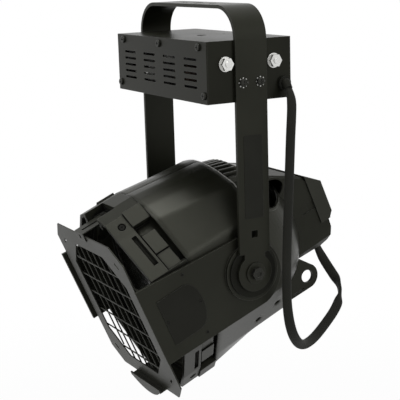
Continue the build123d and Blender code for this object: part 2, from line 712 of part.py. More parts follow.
def front_ring():
    """Cast front ring: a deep band, and behind it a sunken neck with raised blocks and panels."""
    ring = across(RING_OUTLINE, RING_BAND_BACK, RING_FRONT)
    ring -= across(RING_OUTLINE, RING_BAND_BACK + RING_WALL, RING_FRONT + 1, inset=RING_WALL)
    ring += across(NECK_OUTLINE, RING_BACK, RING_BAND_BACK + 1)
    # Flat top that carries on from the shell, raised blocks at the corners, flush panels.
    top_back = SHELL_FRONT + FIT
    top = across(RING_OUTLINE, top_back, RING_FRONT)
    half = RING_SHOULDER[0]
    ring += top & block(-half, half, -RING_BAND_BACK - 1, -top_back, 104.0, RING_CROWN[1] + 1)
    for facet in (UPPER_SHORT, LOWER_SHORT):
        ring += on_facet(facet, (-2.0, 19.5), (-15.0, BLOCK_RISE), (BLOCK_BACK, BLOCK_FRONT))
        ring += on_facet(facet, (2.0, 18.0), (-15.0, -1.0), (BLOCK_BACK, RING_BAND_BACK + 1))
    for facet in (UPPER_LONG, LOWER_LONG):
        ring += on_facet(facet, (10.0, 36.7), (-14.0, -0.4), (PANEL_BACK, PANEL_FRONT))
        ring += on_facet(facet, (38.2, 60.0), (-14.0, -2.0), (PANEL_BACK, PANEL_FRONT))
        ring += on_facet(facet, (10.0, 58.0), (-14.0, -4.0), (PANEL_BACK, RING_BAND_BACK + 1))
    # Side pads that the side plates are riveted to.
    for side in (1, -1):
        pad = sorted((side * (SIDE_X - 5), side * SIDE_X))
        ring += block(*pad, -RING_BAND_BACK - 1, -BLOCK_BACK, RING_SIDE_LOW, RING_SIDE_TOP)
    # Notch in the flat top, open at the front, with a floor that the frame clip sits on.
    wide = NOTCH_HALF + NOTCH_WALL
    ring += top & block(-wide, wide, -RING_FRONT, -RING_BAND_BACK, NOTCH_LOW, RING_CROWN[1] + 1)
    ring -= across(NECK_OUTLINE, RING_BACK - 1, RING_BAND_BACK + RING_WALL + 1, inset=RING_WALL)
    notch = (-NOTCH_HALF, NOTCH_HALF)
    ring -= block(*notch, -RING_FRONT - 1, -NOTCH_BACK, NOTCH_FLOOR, RING_CROWN[1] + 1)
    ring -= block(*notch, -RING_FRONT - 1, -NOTCH_FLOOR_FRONT, NOTCH_LOW - 1, RING_CROWN[1] + 1)
    for x in (-CLIP_RIVET_X, CLIP_RIVET_X):
        ring -= rod_z(NOTCH_LOW - 1, NOTCH_FLOOR + 1, x, -CLIP_RIVET_S, RIVET_R)
    # Long blind slots in the four long facets.
    for facet in (UPPER_LONG, LOWER_LONG):
        slot_front = RING_BAND_BACK + 3.2 + SLOT_WIDTH
        slot_span = (slot_front - SLOT_WIDTH, slot_front)
        ring -= on_facet(facet, (5.0, 5.0 + SLOT_LENGTH), (-SLOT_DEPTH, 8.0), slot_span)
    # Rivet holes in the side pads.
    for side in (1, -1):
        for s, z in PLATE_SCREWS:
            ring -= rod_x(side * (SIDE_X - 5), side * (SIDE_X + 1), -s, z, RIVET_R)
    # Screw holes in the short facets.
    for spot in ring_screw_spots():
        ring -= spot * Cylinder(2.0, 30.0)
        ring -= spot * Pos(0, 0, 4.0 - RECESS_DEPTH) * Cylinder(RECESS_R, 8.0)
    return ring


RECESS_DEPTH = 2.6


def ring_screw_spots():
    """Placements of the ring's four screws, z pointing out of the short facets."""
    spots = []
    for (x0, z0), (x1, z1) in (UPPER_SHORT, LOWER_SHORT):
        for side in (1, -1):
            normal = Vector(side * abs(z1 - z0), 0, abs(x1 - x0) * (1 if z0 > 0 else -1))
            middle = (side * (x0 + x1) / 2, -98.5, (z0 + z1) / 2)
            spots.append(Plane(origin=middle, x_dir=(0, 1, 0), z_dir=normal).location)
    return spots


def ring_screws():
    """Screws sunk in the ring's short facets, which hold the lens carrier's brackets."""
    screw = pan_screw(2.0, 8.0, 3.8, 2.2)
    return group([spot * Pos(0, 0, -RECESS_DEPTH) * screw for spot in ring_screw_spots()])


def shell_tube(inset, back, front):
    """Solid between the shell's two outlines, its sides moved in by `inset`."""
    sections = []
    for outline, s in ((SHELL_BACK_OUTLINE, back), (SHELL_FRONT_OUTLINE, front)):
        face = Polygon(*outline, align=None)
        if inset:
            face = offset(face, amount=-inset, kind=Kind.INTERSECTION)
        sections.append(station(s) * face)
    return loft(sections, ruled=True)


def low_facet_spots():
    """Placements on the shell's lower facets, z pointing out of the metal."""
    spots = []
    for s, share in SHELL_SCREWS:
        blend = (s - SHELL_BACK) / (SHELL_FRONT - SHELL_BACK)
        corner_x = 63.0 + (58.0 - 63.0) * blend
        corner_z = -89.0 + (-92.0 + 89.0) * blend
        x = SIDE_X + (corner_x - SIDE_X) * share
        z = RING_SIDE_LOW + (corner_z - RING_SIDE_LOW) * share
        for side in (1, -1):
            out = Vector(side * (RING_SIDE_LOW - corner_z), 0, corner_x - SIDE_X)
            spots.append(Plane(origin=(side * x, -s, z), x_dir=(0, 1, 0), z_dir=out).location)
    return spots


SHELL_SCREWS = [(2.0, 0.72), (-26.0, 0.55)]  # station, and share of the facet's width
SINK = 4.0  # how deep the shell's screws sit in their bosses
LUG_BACK = SHELL_BACK + 3.0 + FIT


def shell_half(side):
    """One half of the cast shell, split down the middle of the head."""
    skin = shell_tube(0.0, SHELL_BACK, SHELL_FRONT)
    shell = skin - shell_tube(SHELL_WALL, SHELL_BACK, SHELL_FRONT)
    bosses = None
    for spot in low_facet_spots():
        boss = spot * Pos(0, 0, -4.5) * Cylinder(6.0, 15.0)
        bosses = boss if bosses is None else bosses + boss
    for x, z in FLANGE_SCREWS:
        for edge in (1, -1):
            lug = sorted((edge * (x - 7), edge * (SIDE_X - 1)))
            bosses += block(*lug, -LUG_BACK - 8, -LUG_BACK, z - 7, z + 7)
    shell += bosses & skin
    for spot in low_facet_spots():
        shell -= spot * Cylinder(2.0, 30.0)
        shell -= spot * Pos(0, 0, 6 - SINK) * Cylinder(4.2, 12.0)
    for edge in (1, -1):
        shell -= rod_x(edge * (SIDE_X - 10), edge * (SIDE_X + 1), 0, 0, PIVOT_CLEAR_R)
        for x, z in FLANGE_SCREWS:
            shell -= rod_y(-LUG_BACK - 9, -LUG_BACK + 1, edge * x, z, FLANGE_SCREW_R)
    half = block(0, 150, -150, 150, -150, 150)
    return shell & (half if side > 0 else Rot(0, 0, 180) * half)


def shell_screws():
    """Screws sunk in the lower facets, which hold the reflector's stays."""
    screw = pan_screw(2.0, 6.0, 3.8, 2.2)
    return group([spot * Pos(0, 0, -SINK) * screw for spot in low_facet_spots()])


def plate_outline():
    """Side plate's edge as (station, height) points: straight edges and a round heel."""
    centre = (2.0, -PLATE_REAR_DROP)
    heel = []
    steps = 18
    for step in range(steps + 1):
        angle = radians(96 + step * (262 - 96) / steps)
        heel.append((centre[0] + PLATE_REAR_R * cos(angle), centre[1] + PLATE_REAR_R * sin(angle)))
    front = [(PLATE_FRONT, PLATE_FRONT_LOW), (PLATE_FRONT, PLATE_FRONT_TOP), (0.0, 44.5)]
    return front + heel[3:]


def side_plate(side):
    """Flat cheek with the tilt boss, which also guards the colour frame's edge."""
    plate = plate_x(plate_outline(), SIDE_X, PLATE_OUT)
    plate += rod_x(PLATE_OUT - 0.5, BOSS_FACE, 0, 0, BOSS_R)
    plate -= rod_x(SIDE_X - 1, BOSS_FACE + 1, 0, 0, PIVOT_R + RUNNING)
    for s, z in PLATE_SCREWS:
        plate -= rod_x(SIDE_X - 1, PLATE_OUT + 1, -s, z, RIVET_R)
    for s in BADGE_RIVETS:
        plate -= rod_x(PLATE_OUT - 2, PLATE_OUT + 1, -s, (BADGE_TOP + BADGE_LOW) / 2, RIVET_R)
    return plate if side > 0 else mirror(plate, Plane.YZ)


PLATE_SCREWS = [(78.0, 44.0), (78.0, -34.0)]
RIVET_R = 1.8


def cheek_rivets():
    """Rivets of the cheeks, of the blank plates and of the frame clip."""
    rivets = []
    badge_z = (BADGE_TOP + BADGE_LOW) / 2
    for side in (1, -1):
        for s, z in PLATE_SCREWS:
            rivets.append(rod_x(side * (SIDE_X - 5), side * (PLATE_OUT + 0.6), -s, z, RIVET_R))
        for s in BADGE_RIVETS:
            head = PLATE_OUT + BADGE_THICK + 0.7
            rivets.append(rod_x(side * (PLATE_OUT - 2), side * head, -s, badge_z, RIVET_R))
        x = side * CLIP_RIVET_X
        top = NOTCH_FLOOR + CLIP_THICK
        rivet = rod_z(NOTCH_LOW, top + 0.5, x, -CLIP_RIVET_S, RIVET_R)
        rivets.append(rivet + rod_z(top, top + 1.2, x, -CLIP_RIVET_S, RIVET_R + 1.2))
    return group(rivets)


def badge_plates():
    """Blank D-shaped plates on the cheeks."""
    middle = (BADGE_TOP + BADGE_LOW) / 2
    radius = (BADGE_TOP - BADGE_LOW) / 2
    nose = [
        (BADGE_BACK + radius * 0.55 - radius * 0.55 * sin(radians(a)), middle + radius * cos(radians(a)))
        for a in range(0, 181, 20)
    ]
    outline = [(BADGE_FRONT, BADGE_LOW), (BADGE_FRONT, BADGE_TOP)] + nose

    def one_side(side):
        badge = plate_x(outline, PLATE_OUT, PLATE_OUT + BADGE_THICK)
        for s in BADGE_RIVETS:
            badge -= rod_x(PLATE_OUT - 1, PLATE_OUT + 2, -s, middle, RIVET_R)
        return badge if side > 0 else mirror(badge, Plane.YZ)

    return both_sides(one_side)


BADGE_RIVETS = (70.5, 115.5)


def frame_rests():
    """Folded strips inside the cheeks that the colour frame leans back on."""

    def one_side(side):
        low, high = PLATE_FRONT_LOW + 2, PLATE_FRONT_TOP - 2
        web = block(SIDE_X - SHEET, SIDE_X, -FRAME_STATION + 0.3, -RING_FRONT, low, high)
        lip = block(SIDE_X - 13, SIDE_X, -FRAME_STATION + 0.3, -FRAME_STATION + 0.3 + SHEET, low, high)
        rest = web + lip
        return rest if side > 0 else mirror(rest, Plane.YZ)

    return both_sides(one_side)


def dome_profile(shrink=0.0, back=DOME_BACK, steps=12):
    """Points (radius, station) down the rear dome's curve, its skin moved in by `shrink`."""
    points = []
    for step in range(steps + 1):
        s = SHELL_BACK + (back - SHELL_BACK) * step / steps
        reach = (SHELL_BACK - s) / DOME_DEPTH
        points.append((DOME_R * sqrt(1 - reach**2) - shrink, s))
    return points


def dome_solid(grow=0.0):
    """Full dome without its hollow, optionally grown by a clearance."""
    return spun([(0, SHELL_BACK), *dome_profile(-grow), (0, DOME_BACK)])


def vent_oval(side, grow=0.0):
    """Oval bar through one side of the dome, where the round vent is."""
    plane = Plane(origin=(side * 30.0, -VENT_STATION, VENT_HEIGHT), x_dir=(0, 1, 0), z_dir=(side, 0, 0))
    return extrude(plane * Ellipse(VENT_HALF_LENGTH + grow, VENT_HALF_HEIGHT + grow), amount=70.0)


def rear_housing():
    """Cast dome behind the shell: flange, rimmed vents and cooling fins."""
    housing = dome_solid()
    rim_skin = dome_solid(grow=RIM_RISE)
    for side in (1, -1):
        housing += rim_skin & vent_oval(side, grow=VENT_RIM)
    for number in range(FIN_COUNT):
        x = (number - (FIN_COUNT - 1) / 2) * FIN_PITCH
        base = sqrt(DOME_R**2 - x**2)
        fin = [
            (SHELL_BACK, 20.0),
            (SHELL_BACK, base + 4.0),
            (SHELL_BACK - 8, base + 5.0),
            (SHELL_BACK - 28, base - 1.0),
            (SHELL_BACK - 37, base - 12.0),
            (SHELL_BACK - 37, 30.0),
        ]
        housing += plate_x(fin, x - FIN_THICK / 2, x + FIN_THICK / 2)
    housing += across(SHELL_BACK_OUTLINE, SHELL_BACK, SHELL_BACK + 3, inset=SHELL_WALL + 2 * FIT)
    inner_back = DOME_BACK + DOME_WALL
    inner = dome_profile(DOME_WALL, back=inner_back)
    housing -= spun([(0, SHELL_BACK + 4), (inner[0][0], SHELL_BACK + 4), *inner, (0, inner_back)])
    for side in (1, -1):
        housing -= vent_oval(side)
    housing -= disc(DOME_BACK - 1, inner_back + 1, WIRE_HOLE_R)
    for x, z in FLANGE_SCREWS:
        for side in (1, -1):
            housing -= rod_y(-SHELL_BACK - 12, -SHELL_BACK + 1, side * x, z, FLANGE_SCREW_R + FIT)
    eye_spot = eye_screw_spot()
    return housing - rod_y(-SHELL_BACK - 12, -SHELL_BACK + 9, *eye_spot, FLANGE_SCREW_R)


WIRE_HOLE_R = 24.0
FLANGE_SCREW_R = 2.0
FLANGE_HEAD_R = 3.6
FLANGE_SCREWS = [(SIDE_X - 16.0, 58.0), (SIDE_X - 15.0, -50.0)]


def eye_screw_spot():
    """Where the safety eye's foot is screwed down: across the head, and height."""
    return EYE_X - 9, EYE_DROP - EYE_R + 8.0


def rear_screws():
    """Screws through the rear housing's flange and the safety eye's foot."""
    screw = pan_screw(FLANGE_SCREW_R, 9.0, FLANGE_HEAD_R, 2.4)
    placed = []
    for x, z in FLANGE_SCREWS:
        for side in (1, -1):
            placed.append(Pos(side * x, -SHELL_BACK, z) * Rot(-90, 0, 0) * screw)
    x, z = eye_screw_spot()
    placed.append(Pos(x, -SHELL_BACK + EYE_THICK, z) * Rot(-90, 0, 0) * screw)
    return group(placed)


CAP_OUTLINE = mirrored([
    (CAP_HALF, CAP_RIDGE[0][1] + 10),
    (CAP_HALF, CAP_BOTTOM + 10),
    (CAP_HALF - 12, CAP_BOTTOM - 2),
])


# Lower back wall of the cap, below the lid, as (station, height) points.
CAP_BACK_WALL = [(CAP_BACK + 5, -22.0), (CAP_BACK + 6, -36.0)]


def cap_side(front_reach=0.0):
    """Rear cap seen from the side, as (station, height) points."""
    front_top = (CAP_RIDGE[0][0] + front_reach, CAP_RIDGE[0][1] + front_reach * 0.6)
    return [
        front_top,
        *CAP_RIDGE[1:],
        (CAP_BACK, -16.0),
        *CAP_BACK_WALL,
        (CAP_BACK + 14, -52.0),
        (CAP_BACK + 25, CAP_BOTTOM - 1.5),
        (CAP_BACK + 37, CAP_BOTTOM + 1.0),
        (CAP_STEP + 3 + front_reach, CAP_BOTTOM + 4.5),
        (CAP_STEP + front_reach, CAP_SHOULDER),
        (CAP_RIDGE[0][0] + front_reach, CAP_SHOULDER + 14),
    ]


def cap_block(inset=0.0, front_reach=0.0):
    """The rear cap without its hollow, with all its faces moved in by `inset`."""
    wide = CAP_HALF + 10
    back, front = CAP_BACK - 10, CAP_RIDGE[0][0] + 10 + front_reach
    return across(CAP_OUTLINE, back, front, inset=inset) & plate_x(cap_side(front_reach), -wide, wide, inset=inset)


def rear_cap():
    """Moulded cap behind the dome, which covers the lamp's connections."""
    cap = cap_block()
    crown = [e for e in cap.edges() if abs(abs(e.center().X) - CAP_HALF) < 0.01 and e.center().Z > CAP_SHOULDER + 4]
    crown = [e for e in crown if e.center().Y > -CAP_RIDGE[0][0] + 1]
    cap = chamfer(crown, CAP_BEVEL)
    cap -= cap_block(inset=CAP_WALL, front_reach=12.0)
    cap -= dome_solid(grow=FIT)
    low = CAP_BOTTOM - 8
    x, s = LEAD_BUSH
    cap -= rod_z(low, low + 20, x, -s, BUSH_R + FIT)
    for side in (1, -1):
        rim = vent_oval(side, grow=VENT_RIM)
        notch = vent_oval(side, grow=VENT_RIM + FIT) & dome_solid(grow=RIM_RISE + FIT)
        face = sorted((side * (CAP_HALF - CAP_WALL), side * (CAP_HALF + RIM_RISE)))
        cap += (rim & block(*face, -VENT_STATION, -CAP_BACK, 0, 100)) - dome_solid(grow=FIT)
        cap -= notch
        cap -= vent_oval(side)
        skin = sorted((side * (CAP_HALF - LATCH_DEPTH), side * (CAP_HALF + 1)))
        cap -= block(*skin, -LATCH_FRONT, -COVER_FRONT, LATCH_LOW, LATCH_LOW + 1.2)
        cap -= block(*skin, -COVER_FRONT - 10.0, -COVER_FRONT, LATCH_LOW, LATCH_LOW + 11.0)
    for spot in cap_screw_spots():
        cap -= spot * Cylinder(CAP_SCREW_R, 20.0)
    return cap


LEAD_BUSH = (27.0, -131.0)  # across the head, and station
BUSH_R = 7.0
LATCH_FRONT = -112.0  # groove and thumb recess in the cap's sides, by the lid's edge
LATCH_LOW = -1.6
LATCH_DEPTH = 0.9
CAP_SCREW_X = 44.0
CAP_SCREW_R = 2.0


def cap_screw_spots():
    """Placements of the cap's screws on its lower back wall, z pointing out of the wall."""
    (s0, z0), (s1, z1) = CAP_BACK_WALL
    lean = degrees(atan2(s1 - s0, z0 - z1))
    middle = ((s0 + s1) / 2, (z0 + z1) / 2)
    return [Pos(x, -middle[0], middle[1]) * Rot(-90 - lean, 0, 0) for x in (CAP_SCREW_X, -CAP_SCREW_X)]


def cap_screws():
    """Screws in the lower back wall of the cap."""
    screw = pan_screw(CAP_SCREW_R, 6.0, 4.2, 2.6)
    return group([spot * screw for spot in cap_screw_spots()])


def cap_cover():
    """Lid that wraps the back of the cap."""
    lid = cap_block(inset=-COVER_THICK - FIT) - cap_block(inset=-FIT)
    wide = CAP_HALF + 10
    keep = block(-wide, wide, -COVER_FRONT, 200, COVER_LOW, 100)
    return lid & keep


def lead_bush():
    """Rubber bush where the lead goes up into the cap."""
    x, s = LEAD_BUSH
    bush = rod_z(BUSH_MOUTH, CAP_BOTTOM + CAP_WALL + 3, x, -s, BUSH_R)
    bush -= rod_z(BUSH_MOUTH - 1, BUSH_MOUTH + BUSH_CONE, x, -s, BUSH_R + 1)
    cone = Cone(LEAD_R + 1.2, BUSH_R + 1.5, BUSH_CONE, align=(Align.CENTER, Align.CENTER, Align.MIN))
    return bush + Pos(x, -s, BUSH_MOUTH) * cone


BUSH_MOUTH = -61.5  # height of the bush's lower end
BUSH_CONE = 4.5


def safety_eye():
    """Gusset with the safety bond's hole, on a foot screwed to the rear flange."""
    x0, x1 = EYE_X - EYE_THICK / 2, EYE_X + EYE_THICK / 2
    face = -SHELL_BACK
    low = EYE_DROP - EYE_R
    web = plate_x(
        [
            (SHELL_BACK, low + 2.0),
            (SHELL_BACK, -70.0),
            (-84.0, -46.0),
            (EYE_STATION - EYE_R * 0.84, EYE_DROP + EYE_R * 0.54),
            (EYE_STATION, EYE_DROP),
            (EYE_STATION, low),
        ],
        x0,
        x1,
    )
    web += rod_x(x0, x1, -EYE_STATION, EYE_DROP, EYE_R)
    web += block(EYE_X - 16, x1, face, face + EYE_THICK, low + 2.0, -84.0)
    web -= dome_solid(grow=FIT)
    web -= rod_x(x0 - 1, x1 + 1, -EYE_STATION, EYE_DROP, EYE_HOLE_R)
    web -= block(x0 - 1, x1 + 1, 68.7, 85.2, low + 3.2, low + 5.2)
    return web - rod_y(face - 1, face + 9, *eye_screw_spot(), FLANGE_SCREW_R + FIT)


# ------------------------------------------------------------------- optics
CARRIER_BACK = 62.0
CARRIER_FRONT = CARRIER_BACK + CARRIER_THICK
CARRIER_BORE = LENS_R - 7.5
FIXING_R = LENS_R - 4.0  # circle of the screws between carrier and reflector
FIXING_ANGLES = (90, 210, 330)


def lens_carrier():
    """Plate across the ring's neck with the round seat of the lens ring."""
    carrier = across(NECK_OUTLINE, CARRIER_BACK, CARRIER_FRONT, inset=RING_WALL + FIT)
    carrier -= disc(CARRIER_BACK - 1, CARRIER_FRONT + 1, CARRIER_BORE)
    for angle in FIXING_ANGLES:
        x, z = FIXING_R * cos(radians(angle)), FIXING_R * sin(radians(angle))
        carrier -= rod_y(-CARRIER_FRONT - 1, -CARRIER_BACK + 1, x, z, 1.6)
    return carrier


def lens_ring():
    """Turning ring that carries the lens."""
    back = CARRIER_FRONT + 0.3
    ring = disc(back, LENS_BACK + LENS_RIM + 4, RING_TUBE_R - 2.0, bore=LENS_R + FIT)
    ring += disc(back, back + 3.0, RING_TUBE_R - 2.0, bore=LENS_R - 6)
    ring += disc(back, back + 2.0, RING_TUBE_R, bore=LENS_R)
    for notch in range(24):
        angle = radians(notch * 15 + 7.5)
        radius = RING_TUBE_R
        ring -= disc(back - 1, back + 3, 1.6, x=radius * cos(angle), z=radius * sin(angle))
    return ring


def lens_gasket():
    """Soft ring behind the lens."""
    back = CARRIER_FRONT + 0.3 + 3.0
    return disc(back, LENS_BACK, LENS_R - 0.5, bore=LENS_R - 5)


def lens():
    """Pressed glass lens with a gently domed front."""
    front = LENS_BACK + LENS_RIM
    curve = [(LENS_R - 4, front + 0.2)]
    steps = 10
    for step in range(1, steps + 1):
        radius = (LENS_R - 4) * (1 - step / steps)
        curve.append((radius, front + 0.2 + LENS_BULGE * (1 - (radius / (LENS_R - 4)) ** 2)))
    glass = spun([(0, LENS_BACK + 2), (LENS_R - 8, LENS_BACK), (LENS_R, LENS_BACK), (LENS_R, front), *curve])
    return glass


def lens_retainer():
    """Spring wire that keeps the lens in its ring."""
    s = LENS_BACK + LENS_RIM + 0.3
    return disc(s, s + 1.6, LENS_R + FIT / 2, bore=LENS_R - 3.5)


def lens_clips():
    """Three clips on the carrier that the lens ring turns under."""
    clips = []
    back = CARRIER_FRONT
    reach = RING_TUBE_R + 0.4
    for angle in (30, 150, 270):
        foot = block(-6, 6, -(back + 1.2), -back, reach, reach + 4.4)
        leg = block(-6, 6, -(back + 4.2), -back, reach, reach + 1.2)
        hook = block(-6, 6, -(back + 4.2), -(back + 2.7), reach - 1.6, reach + 1.2)
        clips.append(Rot(0, -angle + 90, 0) * (foot + leg + hook))
    return group(clips)


def reflector():
    """Spun aluminium reflector: a paraboloid with a front flange."""
    focus4 = (REFLECTOR_R**2 - REFLECTOR_NECK_R**2) / (CARRIER_BACK - REFLECTOR_WALL - REFLECTOR_BACK)
    outer, inner = [], []
    steps = 14
    for step in range(steps + 1):
        radius = REFLECTOR_NECK_R + (REFLECTOR_R - REFLECTOR_NECK_R) * step / steps
        s = REFLECTOR_BACK + (radius**2 - REFLECTOR_NECK_R**2) / focus4
        slope = atan2(2 * radius / focus4, 1.0)
        inner.append((radius - REFLECTOR_WALL * sin(slope), s + REFLECTOR_WALL * cos(slope)))
        outer.append((radius, s))
    seat = CARRIER_BACK
    inner = [(radius, s) for radius, s in inner if s < seat - REFLECTOR_WALL]
    edge = [(REFLECTOR_R + 4, seat - REFLECTOR_WALL), (REFLECTOR_R + 4, seat), (REFLECTOR_R - 4.0, seat)]
    bowl = spun([*outer, *edge, *reversed(inner)])
    for angle in FIXING_ANGLES:
        x, z = FIXING_R * cos(radians(angle)), FIXING_R * sin(radians(angle))
        bowl -= rod_y(-seat - 1, -seat + 8, x, z, SEAT_SCREW_R)
        bowl -= rod_y(-seat + REFLECTOR_WALL, -seat + 8, x, z, SEAT_HEAD_R + FIT)
    return bowl


SEAT_SCREW_R = 1.6
SEAT_HEAD_R = 2.6


def reflector_screws():
    """Screws that hold the reflector's flange to the lens carrier."""
    screw = pan_screw(SEAT_SCREW_R, CARRIER_THICK + REFLECTOR_WALL, SEAT_HEAD_R, 1.4)
    placed = []
    for angle in FIXING_ANGLES:
        x, z = FIXING_R * cos(radians(angle)), FIXING_R * sin(radians(angle))
        placed.append(Pos(x, -CARRIER_FRONT + CARRIER_THICK + REFLECTOR_WALL, z) * Rot(-90, 0, 0) * screw)
    return group(placed)


LAMP_BASE_BACK = -52.0
LAMP_BASE_FRONT = -30.0
LAMP_TIP = 32.0


def lamp_envelope():
    """Glass tube of the discharge lamp, closed and rounded at its tip."""

    def rounded(back, tip, radius):
        rod = disc(back, tip, radius)
        return fillet(rod.edges().group_by(Axis.Y)[0], radius * 0.8)

    wall = 1.2
    return rounded(LAMP_BASE_FRONT, LAMP_TIP, LAMP_R) - rounded(LAMP_BASE_FRONT - 1, LAMP_TIP - wall, LAMP_R - wall)


def lamp_arc_tube():
    """Ceramic arc tube at the reflector's focus, on its stem."""
    bulb = disc(-9.0, 7.0, 4.5)
    stem = disc(LAMP_BASE_FRONT, -9.0, 1.4)
    return bulb + stem


def lamp_base():
    """Ceramic base of the lamp, with two pins."""
    base = disc(LAMP_BASE_BACK, LAMP_BASE_FRONT, LAMP_BASE_R)
    for x in (-6.0, 6.0):
        base += disc(LAMP_BASE_BACK - 12, LAMP_BASE_BACK, 1.2, x=x)
    return base


def lamp_holder():
    """Ceramic lampholder behind the lamp's base."""
    front = LAMP_BASE_BACK
    holder = disc(front - 22, front, HOLDER_R)
    for x in (-6.0, 6.0):
        holder -= disc(front - 14, front + 1, 1.2 + FIT, x=x)
    return holder


HOLDER_BACK = LAMP_BASE_BACK - 22


def holder_bracket():
    """Steel bracket that carries the lampholder in the dome."""
    back = HOLDER_BACK - 2.0
    reach = sqrt(1 - ((SHELL_BACK - back) / DOME_DEPTH) ** 2) * DOME_R - DOME_WALL
    bar = disc(back, HOLDER_BACK, reach - 0.3)
    bar &= block(-DOME_R, DOME_R, 0, 200, -14, 14)
    return bar - disc(back - 1, HOLDER_BACK + 1, 8.0)


def heat_shield():
    """Round baffle between the lampholder and the cap's wiring."""
    return disc(DOME_BACK - 1.2, DOME_BACK, WIRE_HOLE_R + 14, bore=9.0)


def cap_terminals():
    """Ceramic terminal block inside the rear cap."""
    base = block(-22, 22, -DOME_BACK + 1.2, -DOME_BACK + 17, -12, 12)
    for way in (-1, 0, 1):
        base -= rod_z(4, 13, way * 13.0, -DOME_BACK + 9, 3.0)
    return base


# ----------------------------------------------------------- frame and clips
def colour_frame():
    """Sheet frame with cut corners, an eight-sided opening and small holes."""

    def octagon(half, top, low, cut):
        return mirrored([(half - cut, top), (half, top - cut), (half, low + cut), (half - cut, low)])

    front = FRAME_STATION + FRAME_SHEET
    sheet = across(octagon(FRAME_HALF, FRAME_TOP, FRAME_BOTTOM, FRAME_CUT), FRAME_STATION, front)
    sheet -= across(
        octagon(OPENING_HALF, OPENING_TOP, OPENING_BOTTOM, OPENING_CUT), FRAME_STATION - 1, front + 1
    )
    reach = (OPENING_HALF - OPENING_CUT / 2 + FRAME_HALF - FRAME_CUT / 2) / 2
    for side in (1, -1):
        for z, lean in ((FRAME_TOP - 24.3, 45), (FRAME_BOTTOM + 24.3, -45)):
            hole = Pos(side * (reach + 4), -FRAME_STATION, z) * Rot(0, side * lean, 0) * Box(9.0, 8.0, 3.4)
            sheet -= hole
    return sheet


def mesh_wires():
    """Safety mesh welded to the back of the colour frame."""
    s = FRAME_STATION - WIRE_R
    wires = None
    over = 5.0
    for row in range(MESH_ROWS):
        z = MESH_TOP_WIRE - row * MESH_PITCH_Z
        inset = max(0.0, z + OPENING_CUT - OPENING_TOP, OPENING_BOTTOM + OPENING_CUT - z)
        half = OPENING_HALF + over - inset
        wire = rod_x(-half, half, -s, z, WIRE_R)
        wires = wire if wires is None else wires + wire
    for column in range(MESH_COLUMNS):
        x = (column - (MESH_COLUMNS - 1) / 2) * MESH_PITCH_X
        cut = max(0.0, abs(x) + OPENING_CUT - OPENING_HALF)
        top, low = OPENING_TOP + over - cut, OPENING_BOTTOM - over + cut
        wires += rod_z(low, top, x, -s + WIRE_R * 1.2, WIRE_R)
    return wires


def bottom_holder():
    """Tray under the ring that the colour frame stands on."""
    shelf_top = FRAME_BOTTOM - 0.3
    front, thick, half = 141.0, 2.0, 38.0
    shelf = block(-half, half, -front, -RING_FRONT, shelf_top - thick, shelf_top)
    drop = 14.0
    radius = (half**2 + drop**2) / (2 * drop)
    lip = disc(front - thick, front, radius, z=shelf_top - drop + radius)
    lip &= block(-half, half, -front - 1, -RING_FRONT, shelf_top - drop - 1, shelf_top + 3.0)
    back = block(-half + 6, half - 6, -RING_FRONT - 2.0, -RING_FRONT, RING_BOTTOM + 1, shelf_top)
    holder = shelf + lip + back
    for x in (-20.0, 20.0):
        holder -= rod_y(-RING_FRONT - 3, -RING_FRONT + 1, x, -109.5, 1.4)
    return holder


def frame_clip():
    """Leaf spring riveted in the notch, hooked over the colour frame's top edge."""
    low = NOTCH_FLOOR
    top = low + CLIP_THICK
    front = FRAME_STATION + FRAME_SHEET + 0.3
    clip = block(-CLIP_HALF, CLIP_HALF, -front - CLIP_THICK, -NOTCH_BACK - 4, low, top)
    slot = (-CLIP_SLOT_HALF, CLIP_SLOT_HALF)
    clip -= block(*slot, -FRAME_STATION + 2, -NOTCH_FLOOR_FRONT - 2, low - 1, top + 1)
    lip = block(-CLIP_HALF, CLIP_HALF, -front - CLIP_THICK, -front, FRAME_TOP - CLIP_LIP, top)
    clip += lip - block(*slot, -front - 2, -front + 1, FRAME_TOP - 3, top - 3)
    for x in (-CLIP_RIVET_X, CLIP_RIVET_X):
        clip -= rod_z(low - 1, top + 1, x, -CLIP_RIVET_S, RIVET_R)
    return clip


PARTS = {
    "yoke_strap": yoke_strap(),
    "ballast_case": ballast_case(),
    "ballast_cover": ballast_cover(),
    "cover_screws": cover_screws(),
    "end_bolts": end_bolts(),
    "end_washers": end_washers(),
    "arm_screws": arm_screws(),
    "star_washers": star_washers(),
    "chassis_tray": chassis_tray(),
    "choke_core": choke_core(),
    "choke_winding": choke_winding(),
    "choke_screws": choke_screws(),
    "ignitor": ignitor(),
    "capacitor": capacitor(),
    "capacitor_clip": capacitor_clip(),
    "terminal_block": terminal_block(),
    "case_gland": case_gland(),
    "gland_nut": gland_nut(),
    "mains_bush": mains_bush(),
    "pivot_bolts": pivot_bolts(),
    "pivot_washers": pivot_washers(),
    "pivot_nuts": pivot_nuts(),
    "friction_discs": friction_discs(),
    "lamp_lead": lamp_lead(),
}

